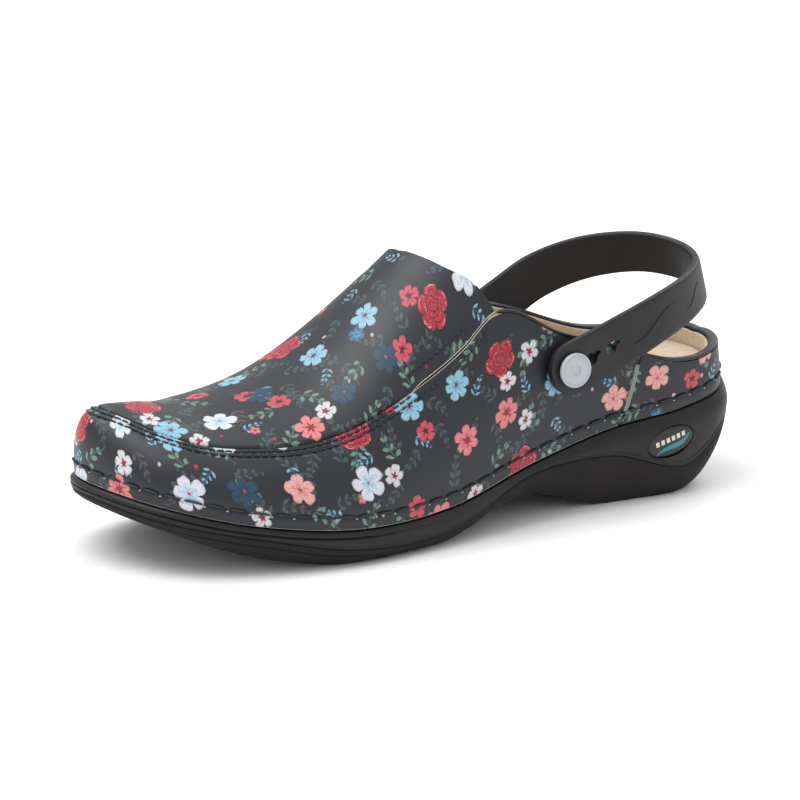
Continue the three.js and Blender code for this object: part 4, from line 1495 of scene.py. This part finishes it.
    def collar_roll(self) -> bpy.types.Object:
        """The folded leather edge: a flattened arch over leather and lining, closed underneath.

        Returns:
            The new object.
        """
        steps, corners = 330, 22
        u = np.broadcast_to(np.linspace(-1, 1, steps)[:, None] * (self.collar_end + 0.06), (steps, corners))
        angle = np.linspace(0, 2 * np.pi, corners, endpoint=False)[None]
        squareness = 0.6
        core = 0.2 - self.collar_half
        depth = core + self.collar_half * squarish(np.cos(angle), squareness)
        lift = 0.6 + 0.75 * squarish(np.sin(angle), squareness)
        taper = smooth(1 - np.abs(np.linspace(-1, 1, steps)), 0.0, 0.012)[:, None]
        t = self.form.collar(u) - 0.005
        up = unit(self.form.wall(u, t + 0.01) - self.form.wall(u, t - 0.01))
        middle = self.form.skin(u, t, core) + up * 0.6
        ring = self.form.skin(u, t, depth) + up * lift[..., None]
        points = middle + (ring - middle) * taper[..., None]
        uv = np.stack([self.arc(u), np.broadcast_to(angle * 1.4, u.shape) + 60], -1)
        faces = grid_faces(steps, corners, close_rows=True)
        return make_mesh("collar_roll_leather", points.reshape(-1, 3), faces, uv.reshape(-1, 2))

    def build(self) -> None:
        """Makes and dresses the six pieces, and cuts the buttons' holes in the wall."""
        wall = self.side_wall()
        cutters = []
        for side in ("lateral", "medial"):
            middle, size = measured(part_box("button_post_" + side))
            radius = size[2] / 2 + GAP
            cutters.append(prism(oval(40, radius, radius), middle, ALONG, UP, 12.0))
        wall.modifiers.clear()
        carve(wall, cutters, 60.0)
        soften(wall, self.round_edge)
        finish_piece(wall, "shoe", "printed_leather", self.leather, "side_wall")
        finish_piece(self.heel_quarter(), "shoe", "printed_leather", self.leather, "heel_quarter")
        finish_piece(self.plug(), "shoe", "printed_leather", self.leather, "vamp_plug")
        finish_piece(self.collar_roll(), "shoe", "printed_leather", self.edge, "collar_binding")
        finish_piece(self.vamp_lining(), "shoe", "lining", self.lining, "vamp_lining")
        finish_piece(self.quarter_lining(), "shoe", "lining", self.lining, "quarter_lining")


@dataclass
class Stitching:
    """Every row of sewing, stitch by stitch."""

    form: FootForm
    upper: Upper
    thread: bpy.types.Material
    light: bpy.types.Material
    points: int = 11
    sides: int = 7
    sink: float = 0.35

    def sewn(self, name: str, u: Array, t: Array, radius: float, lift: float) -> bpy.types.Object:
        """Stitches that arch from hole to hole, thin at both ends.

        Args:
            name: the piece's name.
            u: places of every point, (stitches, points).
            t: heights of the same shape.
            radius: the thread's radius in millimetres.
            lift: how far the middle of a stitch stands above the leather.

        Returns:
            The new object.
        """
        f = np.linspace(0, 1, u.shape[1])[None]
        arch = np.sin(np.pi * f) ** 0.6
        centres = self.form.skin(u, t, (lift + self.sink) * arch - self.sink)
        along = unit(np.gradient(centres, axis=1))
        up = self.form.wall_normal(u, t)
        side = unit(np.cross(up, along))
        thick = radius * np.sin(np.pi * f) ** 0.35
        thick[:, [0, -1]] = 0
        return tube(name, centres, side, np.cross(along, side), np.broadcast_to(thick, u.shape), self.sides)

    def below(self, distance: float) -> Points:
        """A line that lies a distance in millimetres down the wall from the cut line.

        Args:
            distance: how far down it lies.

        Returns:
            A function that gives its t from u.
        """

        def height(u: Array) -> Array:
            """The line's t at u."""
            return self.form.down(u, self.form.collar(u), distance)

        return height

    def row(
        self, first: float, last: float, height: Points, pitch: float, gap: float = 0.08
    ) -> tuple[Array, Array]:
        """Splits a line on the upper into stitches of even length.

        Args:
            first: u at its start.
            last: u at its end.
            height: gives t from u.
            pitch: length of a stitch in millimetres.
            gap: the share of the pitch between two stitches.

        Returns:
            u and t of every point, (stitches, points).
        """
        dense = np.linspace(first, last, 1600)
        length = lengths(self.form.wall(dense, height(dense)))
        count = max(int(round(length[-1] / pitch)), 1)
        f = gap / 2 + np.linspace(0, 1, self.points)[None] * (1 - gap)
        u = np.interp((np.arange(count)[:, None] + f) * length[-1] / count, length, dense)
        return u, height(u)

    def edge_row(self) -> None:
        """Long stitches round the sole's edge, hole to hole, with light knots in the holes."""
        start, end = self.upper.arc(np.array([0.0, TURN]))
        pitch = self.upper.stitch_pitch
        count = int((end - start) / pitch)
        dense = np.linspace(0, TURN, 3000)
        travelled = self.upper.arc(dense)
        f = 0.05 + np.linspace(0, 1, self.points)[None] * 0.9
        offset = math.ceil(start / pitch) * pitch
        u = np.interp(offset + (np.arange(count)[:, None] + f) * pitch, travelled, dense)
        sag = 0.45 * np.abs(np.linspace(-1, 1, self.points))[None] ** 3
        t = self.form.down(u, self.form.height_t(u, self.upper.stitch_height), sag)
        stitches = self.sewn("edge_stitches", u, t, 0.46, 0.3)
        finish_piece(stitches, "shoe", "thread", self.thread, "edge_stitching")
        holes = offset + np.arange(count + 1)[:, None] * pitch
        u = np.interp(holes + np.linspace(-0.55, 0.55, 5), travelled, dense)
        t = self.form.down(u, self.form.height_t(u, self.upper.stitch_height), 0.9)
        finish_piece(self.sewn("edge_stitch_knots", u, t, 0.3, 0.12), "shoe", "seam_thread", self.light)

    def toe_rows(self) -> None:
        """Two close rows of short stitches along the toe seam."""
        rows = [self.row(5.3, TURN - 5.3, self.below(depth), 2.9) for depth in self.upper.row_depths]
        u, t = (np.concatenate(parts) for parts in zip(*rows))
        stitches = self.sewn("toe_seam_stitches", u, t, 0.3, 0.14)
        finish_piece(stitches, "shoe", "thread", self.thread, "toe_seam_stitching")

    def gore_rows(self) -> None:
        """Rows on both sides of each slit that hold the elastic beneath."""
        for side, name in ((1, "lateral"), (-1, "medial")):
            for place, down, span in (("front", -6.0, (4.62, 5.3)), ("rear", 3.6, (4.4, 5.3))):
                ends = span if side > 0 else tuple(TURN - s for s in span)
                u, t = self.row(*ends, self.below(down), 2.6, 0.14)
                piece = self.sewn(f"gore_stitches_{place}_{name}", u, t, 0.42, 0.3)
                finish_piece(piece, "shoe", "thread", self.thread, f"gore_stitching_{place}_{name}")

    def side_seams(self) -> None:
        """A close zigzag down each side seam: every stitch crosses from one panel to the other."""
        stitches, half = 44, 0.95
        f = np.linspace(0, 1, self.points)[None]
        step = (np.arange(stitches)[:, None] + f) / stitches
        sway = np.where(np.arange(stitches)[:, None] % 2 == 0, 1 - 2 * f, 2 * f - 1)
        for side, name in ((1, "lateral"), (-1, "medial")):
            t = 0.05 + step * 0.125
            s = self.form.seam(t)
            rate = np.linalg.norm(self.form.wall(s + 0.01, t) - self.form.wall(s - 0.01, t), axis=-1) / 0.02
            s = s + sway * half / rate
            u = s if side > 0 else TURN - s
            piece = self.sewn("side_seam_zigzag_" + name, u, t, 0.42, 0.3)
            finish_piece(piece, "shoe", "seam_thread", self.light, "side_seam_stitching_" + name)

    def build(self) -> None:
        """Sews every row."""
        self.edge_row()
        self.toe_rows()
        self.gore_rows()
        self.side_seams()


@dataclass
class HeelStrap:
    """The swinging strap: a moulded band along one centre line, with holes and a wave pressed into it."""

    line: Sequence = (
        (34.3, 36.3, 51.8), (34.3, 45, 54.9), (34.8, 62, 61.2), (35.2, 80, 68.5), (27, 100.5, 73.6),
        (13.5, 114, 76.4), (-3, 117.8, 78.6), (-20, 110.5, 79.8), (-35.5, 96, 76.4), (-42, 79, 70.2),
        (-41, 62, 62), (-36.9, 45, 54.9), (-36.5, 36.3, 51.6),
    )
    thickness: float = 3.0
    arm_half: float = 9.6
    back_half: float = 7.8
    pivot: tuple[float, float] = (44.6, 54.8)
    hole_radius: float = 2.2
    hole_pitch: float = 8.4
    hole_slope: tuple[float, float] = (0.94, 0.34)
    hole_lean: tuple[float, float] = (0.934, 0.358)
    arm_x: float = 37.0
    cut_reach: float = 12.0
    holes: tuple[int, int] = (3, 2)
    wave_span: tuple[float, float] = (0.195, 0.36)
    wave_rise: float = 2.9

    def __post_init__(self) -> None:
        """Extends the centre line by its mirrored end points."""
        p = np.array(self.line, float)
        self.knots = np.concatenate([[2 * p[0] - p[1]], p, [2 * p[-1] - p[-2]]])

    def centre(self, w: Array) -> Array:
        """The centre line: a centripetal Catmull-Rom curve, by its knots' square-root distances.

        Args:
            w: places along it, 0 to 1.

        Returns:
            Points in millimetres.
        """
        w = np.clip(np.asarray(w, float), 0, 1) * (len(self.line) - 1)
        i = np.minimum(w.astype(int), len(self.line) - 2)
        f = (w - i)[..., None]
        p = [self.knots[i + k] for k in range(4)]
        d = [np.sqrt(np.linalg.norm(p[k + 1] - p[k], axis=-1))[..., None] for k in range(3)]
        m1, m2 = chord_slope(p[:3], d[:2]) * d[1], chord_slope(p[1:], d[1:]) * d[1]
        cubic = (2 * p[1] - 2 * p[2] + m1 + m2) * f**3 + (3 * p[2] - 3 * p[1] - 2 * m1 - m2) * f**2
        return cubic + m1 * f + p[1]

    def axes(self, w: Array) -> tuple[Array, Array]:
        """The band leans by 0.17 rad, growing by 0.2 along its length.

        Args:
            w: places along the centre line.

        Returns:
            Unit vectors up the band's width and out of its face.
        """
        tangent = unit(self.centre(w + 1e-4) - self.centre(w - 1e-4))
        tilt = 0.17 + 0.2 * w
        width = np.stack([0 * tilt, -np.sin(tilt), np.cos(tilt)], -1)
        width = unit(width - (width * tangent).sum(-1, keepdims=True) * tangent)
        return width, np.cross(tangent, width)

    def half(self, w: Array, length: float) -> Array:
        """Half the band's width, with round ends: a circle's chord within one half width of an end.

        Args:
            w: places along the band, 0 to 1.
            length: the band's length.

        Returns:
            Half widths.
        """
        full = self.arm_half + (self.back_half - self.arm_half) * np.sin(np.pi * w) ** 2
        rest = np.clip(np.minimum(w, 1 - w) * length / full, 0, 1)
        return full * np.sqrt(np.maximum(1 - (1 - rest) ** 2, 0))

    def band(self) -> bpy.types.Object:
        """The band: a superellipse section of power 7 carried along the centre line.

        Returns:
            The new object.
        """
        dense = np.linspace(0, 1, 4000)
        length = lengths(self.centre(dense))
        w = np.interp(eased(420, 0.5) * length[-1], length, dense)
        place = np.interp(w, dense, length) / length[-1]
        half = self.half(place, float(length[-1]))
        corners = 64
        section = squarish(oval(corners, 1, 1), 2 / 7)
        width, out = self.axes(w)
        thin = np.clip(half / 2.0, 0, 1) ** 0.5 * self.thickness / 2
        points = self.centre(w)[:, None] + out[:, None] * section[:, :1] * thin[:, None, None]
        points = points + width[:, None] * section[:, 1:] * half[:, None, None]
        faces = grid_faces(len(w), corners, close_rows=True)
        return make_mesh("heel_strap_moulded", points.reshape(-1, 3), faces)

    def hole_cutters(self, side: int) -> list[bpy.types.Object]:
        """Round holes with a tail: a hump on one side, bent by turning the angle with radius.

        Args:
            side: 1 for the lateral arm and -1 for the medial one.

        Returns:
            A tool for each hole, the pin's own last.
        """
        angle = np.linspace(-np.pi, np.pi, 60, endpoint=False)
        hump = 2.1 * np.exp(-(((angle - 0.5) / 0.34) ** 2))
        r = self.hole_radius + hump
        bent = angle - hump * 0.12
        outline = np.stack([np.cos(bent) * r, np.sin(bent) * r], -1)
        run, rise = self.hole_lean
        along, up = np.array([0, run, rise]), np.array([0, -rise, run])
        tools = []
        for i in range(1, self.holes[0 if side > 0 else 1]):
            y, z = (p + i * self.hole_pitch * rate for p, rate in zip(self.pivot, self.hole_slope))
            tools.append(prism(outline, np.array([side * self.arm_x, y, z]), along, up, self.cut_reach))
        pin = np.stack([np.cos(angle), np.sin(angle)], -1) * self.hole_radius
        tools.append(prism(pin, np.array([side * self.arm_x, *self.pivot]), ALONG, UP, self.cut_reach))
        return tools

    def wave_cutters(self) -> list[bpy.types.Object]:
        """Two strands on the outer face, each rising in an S, that press a rounded groove into it.

        Returns:
            A tool for each strand.
        """
        tools = []
        first, last = self.wave_span
        for start, end in ((0.0, 0.55), (0.66, 1.0)):
            f = np.linspace(start, end, 46)
            w = first + (last - first) * f
            width, out = self.axes(w)
            sway = self.wave_rise * (2 * smooth((f - start) / (end - start), 0.12, 0.95) - 1)
            centre = self.centre(w) + out * (self.thickness / 2 + 0.12) + width * sway[:, None]
            along = unit(np.gradient(centre, axis=0))
            side = unit(np.cross(out, along))
            radius = 0.55 * np.sin(np.pi * np.linspace(0, 1, len(f))) ** 0.3
            radius[[0, -1]] = 0
            up = np.cross(along, side)
            tools.append(tube("cutter", centre[None], side[None], up[None], radius[None], 10))
        return tools

    def build(self) -> None:
        """Makes the strap and lets it swing."""
        rubber = Grainy(
            "moulded_strap_rubber", ("#19191b", "#212123"), (0.46, 0.58), 0.8, 0.025, 18.0,
            {"Specular IOR Level": 0.42},
        )
        strap = self.band()
        carve(strap, [*self.hole_cutters(1), *self.hole_cutters(-1), *self.wave_cutters()], 38.0)
        finish_piece(strap, "strap", "strap_rubber", rubber.material(), "heel_strap")


@dataclass
class Button:
    """The round cap that the strap turns under, one on each side."""

    radius: float = 6.3
    face: float = 0.8

    def build(self) -> None:
        """A turned cap: rounded rim, a fine ring near it, a gentle crown and a small recess in the middle."""
        pale = Grainy(
            "satin_nylon_button", ("#a9adb4", "#b9bcc2"), (0.3, 0.4), 1.2, 0.012, 9.0, {"Coat Weight": 0.15}
        )
        material = pale.material()
        f, r = self.face, self.radius
        profile = (
            (-f, 0), (-f, r - 0.5), (-f + 0.15, r - 0.15), (-f + 0.5, r), (f - 0.5, r), (f - 0.15, r - 0.12),
            (f - 0.02, r - 0.4), (f, r - 0.7), (f - 0.1, r - 0.85), (f - 0.22, r - 1.0), (f - 0.1, r - 1.15),
            (f - 0.04, r - 1.4), (f, r - 3.0), (f + 0.02, 2.2), (f - 0.02, 1.9), (f - 0.35, 1.7),
            (f - 0.4, 1.4), (f - 0.4, 0),
        )
        for side, name in ((1, "lateral"), (-1, "medial")):
            middle, _ = measured(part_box("button_cap_" + name))
            piece = turned("button_face_" + name, middle, profile, side)
            finish_piece(piece, "shoe", "button", material, "button_cap_" + name)


@dataclass
class Hidden:
    """Frame parts whose own shape is shown, and what each is made of."""

    def build(self) -> None:
        """Gives every carried node its finish."""
        steel = Grainy(
            "brushed_spring_steel", ("#8f9195", "#a5a7ab"), (0.3, 0.45), 1.5, 0.01, 8.0, {"Metallic": 1.0}
        )
        nylon = Grainy("turned_nylon_post", ("#a3a7ad", "#b3b6bc"), (0.35, 0.45), 1.0, 0.01, 6.0)
        board = Grainy("pressed_fibre_board", ("#8e7452", "#b39973"), (0.8, 0.95), 0.9, 0.08, 6.0)
        foam = Grainy("open_cell_insole_foam", ("#333337", "#45454a"), (0.85, 0.95), 1.1, 0.2, 9.0)
        felt = Grainy("stiffened_felt", ("#8f806a", "#a5967e"), (0.85, 0.95), 0.8, 0.08, 7.0)
        elastic = Woven("woven_gore_elastic", ("#0f0f13", "#2a2a31"), 0.9, 0.15)
        for finish, nodes in (
            (steel, ("shank", "button_backing_lateral", "button_backing_medial")),
            (nylon, ("button_post_lateral", "button_post_medial")),
            (board, ("insole_board",)),
            (foam, ("insole_foam",)),
            (felt, ("toe_puff", "heel_counter")),
            (elastic, ("gore_lateral", "gore_medial")),
        ):
            material = finish.material()
            for name in nodes:
                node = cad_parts[name]
                node.data.materials.clear()
                node.data.materials.append(material)
                log.info("%s: frame part in %s", name, finish.name)


@dataclass
class Studio:
    """Plain pale floor, soft lights and the camera."""

    azimuth: float = 59.4
    elevation: float = 15.0
    distance: float = 1.3
    target: tuple[float, float, float] = (-0.0025, 0.0, 0.0312)
    lens: float = 163.2
    shift: tuple[float, float] = (-0.0121, 0.0329)

    def build(self) -> None:
        """Sets up the floor, the sky, the lights and the camera."""
        scene = bpy.context.scene
        scene.view_settings.view_transform = "Standard"
        a, e = math.radians(self.azimuth), math.radians(self.elevation)
        back = Vector((math.sin(a) * math.cos(e), -math.cos(a) * math.cos(e), math.sin(e)))
        right = Vector((math.cos(a), math.sin(a), 0))
        camera = bpy.data.objects.new("camera", bpy.data.cameras.new("camera"))
        scene.collection.objects.link(camera)
        camera.data.lens = self.lens
        camera.data.shift_x, camera.data.shift_y = self.shift
        camera.location = Vector(self.target) + back * self.distance
        camera.rotation_euler = back.to_track_quat("Z", "Y").to_euler()
        scene.camera = camera

        half = 6.0
        corners = [(-half, -half, 0), (half, -half, 0), (half, half, 0), (-half, half, 0)]
        plane = bpy.data.meshes.new("floor")
        plane.from_pydata(corners, [], [(0, 1, 2, 3)])
        floor = bpy.data.objects.new("floor", plane)
        scene.collection.objects.link(floor)
        paper = Grainy("matt_white_paper", ("#fafafa", "#ffffff"), (0.85, 0.95), 2.0, 0.01, 60.0)
        plane.materials.append(paper.material())

        world = bpy.data.worlds.new("sky")
        scene.world = world
        world.use_nodes = True
        sky = world.node_tree.nodes["Background"]
        sky.inputs["Color"].default_value = (1, 1, 1, 1)
        sky.inputs["Strength"].default_value = 0.8
        for name, place, power, width in (
            ("key", back * 0.1 - right * 0.55 + Vector((0, 0, 1.1)), 10.5, 0.9),
            ("rim", right * 0.5 - back * 0.7 + Vector((0, 0, 0.9)), 5.0, 0.8),
        ):
            lamp = bpy.data.lights.new(name, "AREA")
            lamp.energy, lamp.size = power, width
            light = bpy.data.objects.new(name, lamp)
            light.location = Vector(self.target) + place
            light.rotation_euler = place.to_track_quat("Z", "Y").to_euler()
            scene.collection.objects.link(light)


def main() -> None:
    """Builds the clog's sub-assemblies in order."""
    logging.basicConfig(level=logging.INFO, format="%(name)s: %(message)s")
    Studio().build()
    form = FootForm()
    lining = Grainy(
        "napped_microfibre_lining", ("#bda78f", "#d0bca4"), (0.85, 0.95), 0.5, 0.06, 3.0,
        {"Sheen Weight": 0.25},
    )
    edge = Grainy("painted_leather_edge", ("#15171c", "#262930"), (0.42, 0.58), 0.6, 0.05, 4.0)
    thread = Twisted("waxed_navy_thread", ("#0c0f18", "#232a3c"), 1.1, 0.45)
    light = Twisted("grey_green_seam_thread", ("#66736d", "#a9b3ab"), 1.1, 0.6)
    upper = Upper(form, PrintedLeather().material(), edge.material(), lining.material())
    SoleUnit(form).build()
    Footbed(form, upper.lining).build()
    upper.build()
    Stitching(form, upper, thread.material(), light.material()).build()
    HeelStrap().build()
    Button().build()
    Hidden().build()


if __name__ == "__main__":
    main()
